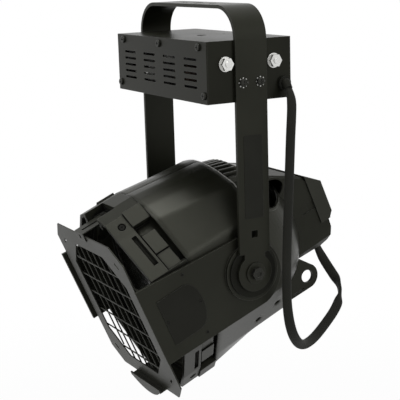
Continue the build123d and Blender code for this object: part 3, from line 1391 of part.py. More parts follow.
HEAD_PARTS = {
    "front_ring": front_ring(),
    "ring_screws": ring_screws(),
    "shell_right": shell_half(1),
    "shell_left": shell_half(-1),
    "shell_screws": shell_screws(),
    "side_plate_right": side_plate(1),
    "side_plate_left": side_plate(-1),
    "cheek_rivets": cheek_rivets(),
    "badge_plates": badge_plates(),
    "frame_rests": frame_rests(),
    "rear_housing": rear_housing(),
    "rear_screws": rear_screws(),
    "rear_cap": rear_cap(),
    "cap_screws": cap_screws(),
    "cap_cover": cap_cover(),
    "lead_bush": lead_bush(),
    "safety_eye": safety_eye(),
    "lens_carrier": lens_carrier(),
    "lens_ring": lens_ring(),
    "lens_gasket": lens_gasket(),
    "lens": lens(),
    "lens_retainer": lens_retainer(),
    "lens_clips": lens_clips(),
    "reflector": reflector(),
    "reflector_screws": reflector_screws(),
    "lamp_envelope": lamp_envelope(),
    "lamp_arc_tube": lamp_arc_tube(),
    "lamp_base": lamp_base(),
    "lamp_holder": lamp_holder(),
    "holder_bracket": holder_bracket(),
    "heat_shield": heat_shield(),
    "cap_terminals": cap_terminals(),
    "colour_frame": colour_frame(),
    "mesh_wires": mesh_wires(),
    "bottom_holder": bottom_holder(),
    "frame_clip": frame_clip(),
}

for name, solid in PARTS.items():
    export_step(solid, f"parts/{name}.step")
for name, solid in HEAD_PARTS.items():
    export_step(seat_head(solid), f"parts/{name}.step")
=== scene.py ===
"""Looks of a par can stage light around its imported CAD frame: finishes, lamp lead and studio."""

import logging
import math
from dataclasses import dataclass
from enum import Enum
from typing import ClassVar, Optional, Sequence, Union

import bpy
from mathutils import Matrix, Vector


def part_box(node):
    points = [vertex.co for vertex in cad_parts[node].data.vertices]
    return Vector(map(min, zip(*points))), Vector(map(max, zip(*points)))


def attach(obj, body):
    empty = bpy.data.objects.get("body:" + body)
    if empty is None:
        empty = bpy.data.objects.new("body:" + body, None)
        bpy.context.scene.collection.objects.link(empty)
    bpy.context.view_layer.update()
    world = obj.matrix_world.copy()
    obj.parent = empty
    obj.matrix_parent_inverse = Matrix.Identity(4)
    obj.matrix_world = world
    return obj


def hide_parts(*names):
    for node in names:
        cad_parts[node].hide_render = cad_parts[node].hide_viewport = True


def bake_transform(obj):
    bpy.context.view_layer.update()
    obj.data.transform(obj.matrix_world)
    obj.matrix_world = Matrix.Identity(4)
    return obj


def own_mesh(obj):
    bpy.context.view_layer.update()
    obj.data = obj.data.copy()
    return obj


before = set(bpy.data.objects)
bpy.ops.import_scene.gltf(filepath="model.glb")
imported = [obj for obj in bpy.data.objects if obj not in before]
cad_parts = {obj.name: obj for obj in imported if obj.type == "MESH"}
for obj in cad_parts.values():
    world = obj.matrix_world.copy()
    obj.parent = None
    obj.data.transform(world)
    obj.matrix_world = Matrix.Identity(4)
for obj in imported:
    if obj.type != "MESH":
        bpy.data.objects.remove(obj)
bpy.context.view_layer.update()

LOG = logging.getLogger("par_can")
Colour = tuple[float, float, float]
Spot = tuple[float, float, float]
Band = tuple[float, float]
Number = Union[float, "Value"]
MM = 0.001
TURN = 2 * math.pi
PIVOT_HEIGHT = -0.3
TILT = math.radians(22.9)
BEAM = (0.0, -math.cos(TILT), -math.sin(TILT))  # direction of the beam at rest
WARM_GLOSS = (1.0, 1.01, 0.87, 1.0)  # the black paints' sheen is a little warm
MIDDLE = 0.5  # the value that a cloud noise runs about


def eased(share: float) -> float:
    """A share from 0 to 1, eased at both ends."""
    return share * share * (3 - 2 * share)


def in_scene(name: str, data: bpy.types.ID) -> bpy.types.Object:
    """Makes an object and links it to the scene.

    Args:
        name: The object's name.
        data: Its mesh, curve, lamp or camera.

    Returns:
        The object.
    """
    item = bpy.data.objects.new(name, data)
    bpy.context.scene.collection.objects.link(item)
    return item


# ------------------------------------------------------------------ shader maths
class Value:
    """An output socket with arithmetic that adds Math nodes."""

    def __init__(self, shade: "Shade", socket: Optional[bpy.types.NodeSocket]) -> None:
        """Wraps a socket of a node tree.

        Args:
            shade: The material or world that the socket belongs to.
            socket: The output socket, or None for an end node.
        """
        self.shade = shade
        self.socket = socket

    def math(self, operation: str, *values: Number, clamp: bool = False) -> "Value":
        """Adds one Math node.

        Args:
            operation: The node's operation.
            values: Its inputs, in order.
            clamp: Whether the result is held between 0 and 1.

        Returns:
            The node's result.
        """
        settings = {"operation": operation, "use_clamp": clamp}
        return self.shade.add("Math", settings, dict(enumerate(values)))

    def __add__(self, other: Number) -> "Value":
        """Sum."""
        return self.math("ADD", self, other)

    def __radd__(self, other: Number) -> "Value":
        """Sum, with a number first."""
        return self.math("ADD", other, self)

    def __sub__(self, other: Number) -> "Value":
        """Difference."""
        return self.math("SUBTRACT", self, other)

    def __rsub__(self, other: Number) -> "Value":
        """Difference, with a number first."""
        return self.math("SUBTRACT", other, self)

    def __mul__(self, other: Number) -> "Value":
        """Product."""
        return self.math("MULTIPLY", self, other)

    def __rmul__(self, other: Number) -> "Value":
        """Product, with a number first."""
        return self.math("MULTIPLY", other, self)

    def __abs__(self) -> "Value":
        """Size without its sign."""
        return self.math("ABSOLUTE", self)

    def clamped(self) -> "Value":
        """The value held between 0 and 1."""
        return self.math("ADD", self, 0.0, clamp=True)

    def wave(self) -> "Value":
        """The value's sine."""
        return self.math("SINE", self)

    def between(self, low: float, high: float) -> "Value":
        """Smooth step from 0 at low to 1 at high.

        Args:
            low: Where the step starts.
            high: Where it ends.

        Returns:
            The stepped value.
        """
        settings = {"interpolation_type": "SMOOTHSTEP"}
        return self.shade.add("MapRange", settings, {0: self, 1: low, 2: high})


@dataclass(frozen=True)
class Noise:
    """Make-up of a cloud noise."""

    scale: float  # clouds per metre
    detail: float = 2.0  # octaves
    rough: float = 0.5  # strength of the finer octaves


class Shade:
    """One material or world, its node tree and the method that adds nodes to it."""

    bevel_rays: int = 6
    sky_rays: int = 12
    edge_gain: float = 6.0  # how soon a softened normal counts as an edge
    shut_band: Band = (0.7, 0.93)  # open sky at a slot's floor and at its lip

    def __init__(self, owner: Union[bpy.types.Material, bpy.types.World]) -> None:
        """Empties the owner's node tree.

        Args:
            owner: The material or world.
        """
        self.owner = owner
        owner.use_nodes = True
        self.tree = owner.node_tree
        self.tree.nodes.clear()

    def add(
        self,
        kind: str,
        settings: Optional[dict] = None,
        inputs: Optional[dict] = None,
        output: Union[int, str] = 0,
    ) -> Value:
        """Adds one node.

        Args:
            kind: The node's type, without its ShaderNode prefix.
            settings: Its properties.
            inputs: Values or links of its sockets, by name or index.
            output: Which output to return.

        Returns:
            The chosen output.
        """
        node = self.tree.nodes.new("ShaderNode" + kind)
        for key, value in (settings or {}).items():
            setattr(node, key, value)
        for key, value in (inputs or {}).items():
            if isinstance(value, Value):
                self.tree.links.new(value.socket, node.inputs[key])
            else:
                node.inputs[key].default_value = value
        return Value(self, node.outputs[output] if len(node.outputs) else None)

    def place(self) -> Value:
        """Position in the row frame, in metres, carried along by the piece."""
        return self.add("TexCoord", output="Object")

    def axis(self, vector: Value, index: int) -> Value:
        """One component of a vector."""
        return self.add("SeparateXYZ", inputs={0: vector}, output=index)

    def along(self, vector: Value, way: Union[Value, Spot]) -> Value:
        """How far a vector reaches along another."""
        return self.add("VectorMath", {"operation": "DOT_PRODUCT"}, {0: vector, 1: way}, "Value")

    def noise(self, place: Value, grain: Noise) -> Value:
        """Cloud noise, about 0.5.

        Args:
            place: Where it is read.
            grain: Its make-up.

        Returns:
            The noise.
        """
        inputs = {
            "Vector": place,
            "Scale": grain.scale,
            "Detail": grain.detail,
            "Roughness": grain.rough,
        }
        return self.add("TexNoise", inputs=inputs)

    def stretched(self, place: Value, scale: Sequence[float]) -> Value:
        """A position scaled along each axis."""
        return self.add("Mapping", inputs={"Vector": place, "Scale": tuple(scale)})

    def blend(
        self, first: Union[Value, Colour], second: Union[Value, Colour], amount: Number
    ) -> Value:
        """Mixes two colours.

        Args:
            first: Colour where amount is 0.
            second: Colour where amount is 1.
            amount: The share of the second.

        Returns:
            The mixed colour.
        """
        ends = [c if isinstance(c, Value) else (*c, 1.0) for c in (first, second)]
        settings = {"data_type": "RGBA"}
        return self.add("Mix", settings, {0: amount, 6: ends[0], 7: ends[1]}, output=2)

    def rounded(self, radius: float) -> Value:
        """Normal that is softened at the edges, as a coat of paint softens them."""
        return self.add("Bevel", {"samples": self.bevel_rays}, {"Radius": radius})

    def edges(self, soft: Value) -> Value:
        """How near an edge the surface is, from 0 on a face towards 1 at a sharp edge.

        Args:
            soft: The softened normal.

        Returns:
            The edge mask.
        """
        flat = self.add("NewGeometry", output="Normal")
        return ((1.0 - self.along(soft, flat)) * self.edge_gain).clamped()

    def shut_in(self, reach: float) -> Value:
        """How enclosed a point is: 0 on a free face, 1 on the floor of a slot.

        Args:
            reach: How far away a wall still counts, in metres.

        Returns:
            The share.
        """
        settings = {"samples": self.sky_rays}
        open_sky = self.add("AmbientOcclusion", settings, {"Distance": reach}, "AO")
        return 1.0 - open_sky.between(*self.shut_band)

    def bump(self, height: Value, depth: float, normal: Optional[Value] = None) -> Value:
        """Relief of a surface.

        Args:
            height: Its height, from 0 to 1.
            depth: The depth between those, in metres.
            normal: The normal that it starts from, if not the mesh's own.

        Returns:
            The new normal.
        """
        inputs = {"Height": height, "Distance": depth, "Strength": 1.0}
        if normal is not None:
            inputs["Normal"] = normal
        return self.add("Bump", inputs=inputs)

    def surface(self, **inputs: object) -> bpy.types.Material:
        """Ends the tree in one Principled surface.

        Args:
            inputs: Its sockets, with underscores for spaces in their names.

        Returns:
            The finished material.
        """
        sockets = {key.replace("_", " "): value for key, value in inputs.items()}
        shader = self.add("BsdfPrincipled", inputs=sockets)
        self.add("OutputMaterial", inputs={"Surface": shader})
        return self.owner


# ---------------------------------------------------------------------- finishes
class Texture(Enum):
    """How the skin of a painted piece feels."""

    SHEET = "sheet"
    CASTING = "casting"


@dataclass(frozen=True)
class SlotShade:
    """Painted shade: dark, dull colour on the floors of a casting's slots and in its inside
    corners, where shade falls.
    """

    reach: float = 0.008  # how far away a wall still counts
    # colour of the painted shade
    colour: Colour = (0.001, 0.001, 0.0008)
    dulling: float = 0.6


@dataclass(frozen=True)
class RimHighlight:
    """Painted highlight: a light line round the top of a casting's rear rim."""

    station: float = -0.038  # rear rim, along the beam from the tilt axis
    edge: Band = (0.0012, 0.0018)  # ahead of the rim, where the painted highlight starts to fade and where it is gone
    heights: Band = (-0.25, -0.215)  # where the line fades in, upwards
    # colour of the painted highlight
    colour: Colour = (0.6, 0.6, 0.57)

    def mask(self, shade: Shade, place: Value) -> Value:
        """Where the painted highlight lies on the rim.

        Args:
            shade: The material.
            place: The position on the piece.

        Returns:
            1 on the highlight line, 0 elsewhere.
        """
        lift = {0: place, 1: (0.0, 0.0, -PIVOT_HEIGHT)}
        station = shade.along(shade.add("VectorMath", {"operation": "ADD"}, lift), BEAM)
        rim_highlight_mask = 1.0 - station.between(*(self.station + step for step in self.edge))
        return rim_highlight_mask * shade.axis(place, 2).between(*self.heights)


@dataclass(frozen=True)
class Seam:
    """Groove in the middle plane, where two halves meet."""

    lips: Band = (0.00015, 0.0007)  # distance from the plane of its floor and of its edge
    depth: float = 4.0  # against the relief of the paint
    colour: Colour = (0.004, 0.004, 0.004)
    share: float = 0.9

    def mask(self, shade: Shade, place: Value) -> Value:
        """Where the groove is.

        Args:
            shade: The material.
            place: The position on the piece.

        Returns:
            1 in the groove, 0 elsewhere.
        """
        across = abs(shade.axis(place, 0))
        return 1.0 - across.between(*self.lips)


@dataclass(frozen=True)
class Paint:
    """Black paint on sheet or on a casting, thin and a little polished at its edges, whose lighter
    edge colour is partly wear and partly a painted highlight.
    """

    name: str
    dark: Colour
    light: Colour
    roughness: float
    texture: Texture
    grain: Noise = Noise(900.0, 3.0, 0.6)
    depth: float = 0.00006
    edge_radius: float = 0.0007
    # lighter colour at the edges: worn paint, and partly a painted highlight
    edge: Colour = (0.085, 0.085, 0.08)
    edge_wear_and_highlight_share: float = 0.55
    edge_polish: float = 0.12
    gloss: float = 0.2
    facet_radius: float = 0.0
    seam: Optional[Seam] = None
    slot_shade: Optional[SlotShade] = None
    rim: Optional[RimHighlight] = None
    cloud: Noise = Noise(14.0, 4.0)
    cloud_band: Band = (0.3, 0.7)
    cloud_dulling: float = 0.16
    grain_dulling: float = 0.1
    wear: Noise = Noise(120.0, 3.0)
    least_wear: float = 0.45
    pits: Noise = Noise(260.0, 2.0)
    pit_band: Band = (0.25, 0.5)
    pit_share: float = 0.3
    dust: Noise = Noise(45.0, 5.0, 0.7)
    dust_band: Band = (0.5, 0.8)
    dust_share: float = 0.4

    def material(self) -> bpy.types.Material:
        """Makes the paint.

        Returns:
            The node material.
        """
        shade = Shade(bpy.data.materials.new(self.name))
        place = shade.place()
        cloud = shade.noise(place, self.cloud)
        grain = shade.noise(place, self.grain)
        soft = shade.rounded(self.edge_radius)
        patchy = self.least_wear + (1.0 - self.least_wear) * shade.noise(place, self.wear)
        worn_and_lit_edge = shade.edges(soft) * patchy
        colour = shade.blend(self.dark, self.light, cloud.between(*self.cloud_band))
        rough = self.roughness + (cloud - MIDDLE) * self.cloud_dulling
        rough = rough + (grain - MIDDLE) * self.grain_dulling
        height = grain
        if self.texture is Texture.CASTING:
            pits = shade.noise(place, self.pits).between(*self.pit_band)
            height = grain * (1.0 - self.pit_share) + pits * self.pit_share
            dust = shade.noise(place, self.dust).between(*self.dust_band)
            colour = shade.blend(colour, self.light, dust * self.dust_share)
        # painted shade: slot floors and inside corners darkened and dulled by how enclosed they are
        if self.slot_shade is not None:
            slot_shade_mask = shade.shut_in(self.slot_shade.reach)
            colour = shade.blend(colour, self.slot_shade.colour, slot_shade_mask)
            rough = rough + slot_shade_mask * self.slot_shade.dulling
        # painted highlight: a light line along the top of the rear rim
        if self.rim is not None:
            colour = shade.blend(colour, self.rim.colour, self.rim.mask(shade, place))
        if self.seam is not None:
            groove = self.seam.mask(shade, place)
            height = height * (1.0 - groove) - groove * self.seam.depth
            colour = shade.blend(colour, self.seam.colour, groove * self.seam.share)
        # edges lightened: partly wear, partly a painted highlight where edges would catch light
        colour = shade.blend(colour, self.edge, worn_and_lit_edge * self.edge_wear_and_highlight_share)
        rough = rough - worn_and_lit_edge * self.edge_polish
        lie = shade.rounded(self.facet_radius) if self.facet_radius > 0 else soft
        return shade.surface(
            Base_Color=colour,
            Roughness=rough.clamped(),
            Normal=shade.bump(height, self.depth, lie),
            Specular_IOR_Level=self.gloss,
            Specular_Tint=WARM_GLOSS,
        )


@dataclass(frozen=True)
class Plating:
    """Bare or plated metal with fine scratches and dull patches."""

    name: str
    colour: Colour
    roughness: float
    scratch: Sequence[float] = (300.0, 300.0, 300.0)  # stretch of the scratches along each axis
    dull: Colour = (0.25, 0.25, 0.24)
    dull_share: float = 0.35
    lines: Noise = Noise(6.0, 4.0, 0.7)
    line_depth: float = 0.00002
    line_dulling: float = 0.2
    patches: Noise = Noise(90.0, 4.0)
    patch_band: Band = (0.45, 0.75)
    patch_dulling: float = 0.18
    edge_radius: float = 0.0004

    def material(self) -> bpy.types.Material:
        """Makes the metal.

        Returns:
            The node material.
        """
        shade = Shade(bpy.data.materials.new(self.name))
        place = shade.place()
        lines = shade.noise(shade.stretched(place, self.scratch), self.lines)
        patch = shade.noise(place, self.patches).between(*self.patch_band)
        soft = shade.rounded(self.edge_radius)
        rough = self.roughness + patch * self.patch_dulling
        rough = rough + (lines - MIDDLE) * self.line_dulling
        return shade.surface(
            Base_Color=shade.blend(self.colour, self.dull, patch * self.dull_share),
            Metallic=1.0,
            Roughness=rough.clamped(),
            Normal=shade.bump(lines, self.line_depth, soft),
        )


@dataclass(frozen=True)
class Moulding:
    """Moulded plastic, ceramic, rubber or fibre with a fine spark-eroded skin, and edges lightened
    partly by rubbing and partly as a painted highlight.
    """

    name: str
    dark: Colour
    light: Colour
    roughness: float
    depth: float = 0.00005
    # lighter colour at the edges: rubbing, and partly a painted highlight
    edge: Colour = (0.09, 0.09, 0.09)
    gloss: float = 0.2
    grain: Noise = Noise(1600.0, 2.0, 0.7)
    grain_dulling: float = 0.18
    cloud: Noise = Noise(22.0, 3.0)
    cloud_band: Band = (0.3, 0.7)
    edge_radius: float = 0.0008
    edge_wear_and_highlight_share: float = 0.4
    least_rub: float = 0.4

    def material(self) -> bpy.types.Material:
        """Makes the moulding.

        Returns:
            The node material.
        """
        shade = Shade(bpy.data.materials.new(self.name))
        place = shade.place()
        cloud = shade.noise(place, self.cloud)
        speckle = shade.noise(place, self.grain)
        soft = shade.rounded(self.edge_radius)
        # edges lightened: partly rubbing, partly a painted highlight
        rubbed_and_lit_edge = shade.edges(soft) * (self.least_rub + (1.0 - self.least_rub) * cloud)
        colour = shade.blend(self.dark, self.light, cloud.between(*self.cloud_band))
        colour = shade.blend(colour, self.edge, rubbed_and_lit_edge * self.edge_wear_and_highlight_share)
        rough = self.roughness + (speckle - MIDDLE) * self.grain_dulling
        return shade.surface(
            Base_Color=colour,
            Roughness=rough.clamped(),
            Normal=shade.bump(speckle, self.depth, soft),
            Specular_IOR_Level=self.gloss,
            Specular_Tint=WARM_GLOSS,
        )


@dataclass(frozen=True)
class Winding:
    """Varnished copper wire wound round the choke, with painted shade in the grooves between turns.
    """

    name: str
    pitch: float = 0.0009
    groove: float = 0.0003
    dark: Colour = (0.02, 0.012, 0.007)
    light: Colour = (0.09, 0.05, 0.03)
    metal: float = 0.8
    roughness: float = 0.3
    varnish: Noise = Noise(60.0, 3.0)
    varnish_dulling: float = 0.2

    def material(self) -> bpy.types.Material:
        """Makes the winding.

        Returns:
            The node material.
        """
        shade = Shade(bpy.data.materials.new(self.name))
        place = shade.place()
        # painted shade: the colour is darker in the grooves between turns, on the same wave as the
        # relief
        wire = 0.5 + 0.5 * (shade.axis(place, 0) * (TURN / self.pitch)).wave()
        cloud = shade.noise(place, self.varnish)
        return shade.surface(
            Base_Color=shade.blend(self.dark, self.light, wire * cloud),
            Metallic=self.metal,
            Roughness=(self.roughness + self.varnish_dulling * cloud).clamped(),
            Normal=shade.bump(wire, self.groove),
        )


@dataclass(frozen=True)
class Glass:
    """Clear pressed glass, with a moulded grid of small lenses where asked."""

    name: str
    tint: Colour
    roughness: float
    cells: float = 0.0  # small lenses per metre, or 0 for plain glass
    cell_depth: float = 0.00035
    cell_blur: float = 0.4
    film: Noise = Noise(30.0, 4.0)
    film_colour: Colour = (0.5, 0.5, 0.49)
    film_share: float = 0.3
    film_dulling: float = 0.06
    bending: float = 1.5

    def material(self) -> bpy.types.Material:
        """Makes the glass.

        Returns:
            The node material.
        """
        shade = Shade(bpy.data.materials.new(self.name))
        place = shade.place()
        film = shade.noise(place, self.film)
        rough = self.roughness + film * self.film_dulling
        inputs = dict(
            Base_Color=shade.blend(self.tint, self.film_colour, film * self.film_share),
            Roughness=rough.clamped(),
            IOR=self.bending,
            Transmission_Weight=1.0,
        )
        if self.cells > 0:
            grid = {"Scale": self.cells, "Smoothness": self.cell_blur, "Randomness": 0.0}
            settings = {"feature": "SMOOTH_F1"}
            lenses = shade.add("TexVoronoi", settings, {"Vector": place, **grid})
            inputs["Normal"] = shade.bump(lenses, self.cell_depth)
        return shade.surface(**inputs)


@dataclass(frozen=True)
class Sleeve:
    """Braided sleeve of the lamp lead, woven along and round its own run, with painted shade in the
    hollows between strands.
    """

    name: str
    uv: str
    strands: float = 14.0
    per_metre: float = 260.0
    strand_band: Band = (-0.2, 0.9)
    # painted shade in the hollows between strands
    shaded_hollow: Colour = (0.003, 0.003, 0.0024)
    strand: Colour = (0.02, 0.0204, 0.016)
    dusty: Colour = (0.024, 0.0245, 0.02)
    dust: Noise = Noise(25.0, 3.0)
    dust_band: Band = (0.5, 0.8)
    dust_share: float = 0.3
    fuzz: Noise = Noise(2500.0, 2.0)
    fuzz_height: float = 0.3
    fuzz_dulling: float = 0.2
    roughness: float = 0.62
    depth: float = 0.00016
    gloss: float = 0.15
    sheen: float = 0.08
    sheen_spread: float = 0.5

    def material(self) -> bpy.types.Material:
        """Makes the sleeve.

        Returns:
            The node material.
        """
        shade = Shade(bpy.data.materials.new(self.name))
        run = shade.add("UVMap", {"uv_map": self.uv})
        along = shade.axis(run, 0) * (TURN * self.per_metre)
        around = shade.axis(run, 1) * (TURN * self.strands)
        right, left = (along + around).wave(), (along - around).wave()
        over = right.between(*self.strand_band) * 0.5 + left.between(*self.strand_band) * 0.5
        place = shade.place()
        fuzz = shade.noise(place, self.fuzz)
        dust = shade.noise(place, self.dust).between(*self.dust_band)
        # painted shade: darker where the strands dip
        colour = shade.blend(self.shaded_hollow, self.strand, over * fuzz)
        colour = shade.blend(colour, self.dusty, dust * self.dust_share)
        return shade.surface(
            Base_Color=colour,
            Roughness=(self.roughness + self.fuzz_dulling * fuzz).clamped(),
            Normal=shade.bump(over + fuzz * self.fuzz_height, self.depth),
            Sheen_Weight=self.sheen,
            Sheen_Roughness=self.sheen_spread,
            Specular_IOR_Level=self.gloss,
            Specular_Tint=WARM_GLOSS,
        )


Finish = Union[Paint, Plating, Moulding, Winding, Glass, Sleeve]
CAST_GRAIN = Noise(700.0, 3.0, 0.6)
CAST_EDGE = 0.0012

YOKE_PAINT = Paint(
    "yoke powder coat", (0.0095, 0.0098, 0.0066), (0.0135, 0.0139, 0.0098), 0.34,
    Texture.SHEET, depth=0.00004, gloss=0.15,
)
BOX_PAINT = Paint(
    "box powder coat", (0.006, 0.0062, 0.004), (0.009, 0.0093, 0.006), 0.33,
    Texture.SHEET, depth=0.00003, gloss=0.12,
)
# the casting paint paints shade into its slot floors and inside corners
CAST_PAINT = Paint(
    "casting paint", (0.0095, 0.0098, 0.0068), (0.015, 0.0154, 0.0112), 0.4,
    Texture.CASTING, grain=CAST_GRAIN, edge_radius=CAST_EDGE, gloss=0.16, slot_shade=SlotShade(),
)
# painted highlight: a lighter copy of the casting paint with bright edges, for the rear housing
DOME_PAINT = Paint(
    "dome paint", (0.0105, 0.0108, 0.0078), (0.017, 0.0174, 0.013), 0.3,
    Texture.CASTING, grain=CAST_GRAIN, edge_radius=CAST_EDGE, depth=0.00004, gloss=0.28,
    edge=(0.2, 0.2, 0.18), edge_wear_and_highlight_share=0.8,
)
# the shell paint carries a painted highlight along its rear rim
SHELL_PAINT = Paint(
    "shell paint", (0.0095, 0.0098, 0.0068), (0.015, 0.0154, 0.0112), 0.31,
    Texture.CASTING, grain=CAST_GRAIN, edge_radius=CAST_EDGE, depth=0.00005,
    facet_radius=0.009, seam=Seam(), rim=RimHighlight(),
)
# its bright edges stand partly for wear, partly for a painted highlight on the flanges
CHEEK_PAINT = Paint(
    "cheek powder coat", (0.0095, 0.0098, 0.0068), (0.0135, 0.0139, 0.010), 0.44,
    Texture.SHEET, depth=0.00004, gloss=0.16, edge=(0.12, 0.12, 0.105), edge_wear_and_highlight_share=0.75,
)
BADGE_PAINT = Paint(
    "blank plate", (0.005, 0.005, 0.0038), (0.008, 0.008, 0.0064), 0.4,
    Texture.SHEET, depth=0.00003, gloss=0.13,
)
FRAME_PAINT = Paint(
    "frame paint", (0.013, 0.0134, 0.0105), (0.020, 0.0205, 0.0165), 0.42,
    Texture.SHEET, depth=0.00004, gloss=0.17,
)
# its light edges are partly a painted highlight on the screw heads
BLACK_STEEL = Paint(
    "blackened steel", (0.005, 0.005, 0.0045), (0.010, 0.010, 0.009), 0.34,
    Texture.SHEET, grain=Noise(1500.0, 3.0, 0.6), edge_radius=0.0005, depth=0.00003, gloss=0.22,
    edge=(0.22, 0.22, 0.2), edge_wear_and_highlight_share=0.6,
)
DEEP_SCREW = Paint(
    "sunk screw", (0.004, 0.004, 0.0035), (0.007, 0.007, 0.006), 0.6, Texture.SHEET, gloss=0.1
)
RING_ALUMINIUM = Paint(
    "anodised ring", (0.006, 0.006, 0.0055), (0.010, 0.010, 0.0095), 0.5,
    Texture.SHEET, grain=Noise(1200.0, 3.0, 0.6), depth=0.00003, gloss=0.15,
)
CORE = Paint(
    "core laminations", (0.02, 0.02, 0.022), (0.04, 0.04, 0.042), 0.42, Texture.SHEET
)
CAP_PLASTIC = Moulding(
    "cap moulding", (0.008, 0.0083, 0.0056), (0.0115, 0.0119, 0.0084), 0.48,
    depth=0.00002, gloss=0.14,
)
LID_PLASTIC = Moulding(
    "lid moulding", (0.014, 0.0144, 0.0108), (0.019, 0.0195, 0.015), 0.46, depth=0.00002
)
PALE_PLASTIC = Moulding(
    "pale plastic", (0.55, 0.55, 0.52), (0.62, 0.62, 0.59), 0.4, edge=(0.7, 0.7, 0.67), gloss=0.5
)
RUBBER = Moulding(
    "black rubber", (0.005, 0.0051, 0.0038), (0.008, 0.0082, 0.0062), 0.6,
    depth=0.00003, gloss=0.1,
)
LABEL_FILM = Moulding(
    "label film", (0.005, 0.0051, 0.004), (0.008, 0.0082, 0.0064), 0.34,
    depth=0.00001, edge=(0.03, 0.03, 0.03), gloss=0.15,
)
CERAMIC = Moulding(
    "glazed ceramic", (0.72, 0.7, 0.64), (0.8, 0.79, 0.74), 0.28, edge=(0.85, 0.84, 0.8), gloss=0.5
)
STAR_STEEL = Plating("star washer", (0.42, 0.42, 0.4), 0.3, dull=(0.03, 0.03, 0.03), dull_share=0.9)
ZINC = Plating("zinc plating", (0.62, 0.62, 0.6), 0.24)
TRAY_STEEL = Plating("tray steel", (0.42, 0.42, 0.42), 0.38, (900.0, 60.0, 60.0))
MIRROR = Plating("spun reflector", (0.36, 0.36, 0.355), 0.22, (90.0, 90.0, 900.0), dull_share=0.2)
COPPER = Winding("copper winding")
LENS_GLASS = Glass("lens glass", (0.16, 0.165, 0.16), 0.2, cells=95.0)
LAMP_GLASS = Glass("lamp glass", (0.9, 0.92, 0.9), 0.02)
LEAD_SLEEVE = Sleeve("braided sleeve", uv="sleeve")


class Finishes:
    """Makes each finish's material once, and hands it out."""

    def __init__(self) -> None:
        """Starts with no material made."""
        self.made: dict[str, bpy.types.Material] = {}

    def of(self, finish: Finish) -> bpy.types.Material:
        """Looks up a finish, which is made on its first use.

        Args:
            finish: The finish.

        Returns:
            Its material.
        """
        if finish.name not in self.made:
            self.made[finish.name] = finish.material()
        return self.made[finish.name]


# ---------------------------------------------------------------- sub-assemblies
@dataclass
class SubAssembly:
    """CAD nodes that belong together, and the finish of each."""

    finishes: Finishes
    coats: ClassVar[dict[Finish, str]] = {}

    def dress(self) -> None:
        """Gives every CAD node of the sub-assembly its material."""
        for finish, names in self.coats.items():
            for name in names.split():
                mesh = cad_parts[name].data
                mesh.materials.clear()
                mesh.materials.append(self.finishes.of(finish))
                LOG.info("%s dressed in %s", name, finish.name)

    def mesh_piece(
        self,
        name: str,
        points: Sequence[Vector],
        faces: Sequence[Sequence[int]],
        finish: Finish,
        body: Optional[str],
        smooth: bool = True,
    ) -> bpy.types.Object:
        """Makes a mesh object that rides on a body.

        Args:
            name: The piece's name.
            points: Its vertices in the row frame.
            faces: Its faces.
            finish: Its finish.
            body: The body that it rides on, or None where it rides on no body.
            smooth: Whether its faces are shaded smooth.

        Returns:
            The new object.
        """
        mesh = bpy.data.meshes.new(name)
        mesh.from_pydata([tuple(p) for p in points], [], faces)
        mesh.validate()
        for polygon in mesh.polygons:
            polygon.use_smooth = smooth
        mesh.materials.append(self.finishes.of(finish))
        piece = in_scene(name, mesh)
        if body is not None:
            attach(piece, body)
        LOG.info("%s made, body %s", name, body)
        return piece


@dataclass
class Yoke(SubAssembly):
    """Flat-bar yoke with its pivots, and a blank label on its near arm."""

    coats: ClassVar[dict[Finish, str]] = {
        YOKE_PAINT: "yoke_strap pivot_washers",
        BLACK_STEEL: "pivot_bolts arm_screws",
        STAR_STEEL: "star_washers",
        ZINC: "pivot_nuts",
        RUBBER: "friction_discs",
    }
    label_width: float = 0.024
    label_top: float = 0.142  # below the crossbar's hole, as is label_low
    label_low: float = 0.236
    label_thick: float = 0.0003
    label_gap: float = 0.00002
    label_corner: float = 0.0015
    corner_steps: int = 5

    def blank_label(self) -> bpy.types.Object:
        """Thin blank film on the arm's outer face, with rounded corners.

        Returns:
            The label.
        """
        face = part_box("yoke_strap")[1].x
        corner = self.label_corner
        side = self.label_width / 2 - corner
        top, low = -self.label_top - corner, -self.label_low + corner
        outline = []
        for quarter, (cy, cz) in enumerate([(side, top), (-side, top), (-side, low), (side, low)]):
            for step in range(self.corner_steps + 1):
                turn = math.radians(90 * quarter + 90 * step / self.corner_steps)
                outline.append((cy + corner * math.cos(turn), cz + corner * math.sin(turn)))
        count = len(outline)
        points = [Vector((face + self.label_thick, y, z)) for y, z in outline]
        points += [Vector((face + self.label_gap, y, z)) for y, z in outline]
        faces = [list(range(count)), list(range(2 * count - 1, count - 1, -1))]
        faces += [[i, i + count, (i + 1) % count + count, (i + 1) % count] for i in range(count)]
        label = self.mesh_piece("blank_label", points, faces, LABEL_FILM, "yoke", smooth=False)
        return label


@dataclass
class BallastBox(SubAssembly):
    """Vented sheet box between the arms, with the gear inside it."""

    coats: ClassVar[dict[Finish, str]] = {
        BOX_PAINT: "ballast_case ballast_cover",
        BLACK_STEEL: "cover_screws",
        ZINC: "end_bolts end_washers gland_nut choke_screws capacitor_clip",
        TRAY_STEEL: "chassis_tray",
        CORE: "choke_core",
        COPPER: "choke_winding",
        PALE_PLASTIC: "ignitor capacitor terminal_block",
        RUBBER: "case_gland mains_bush",
    }


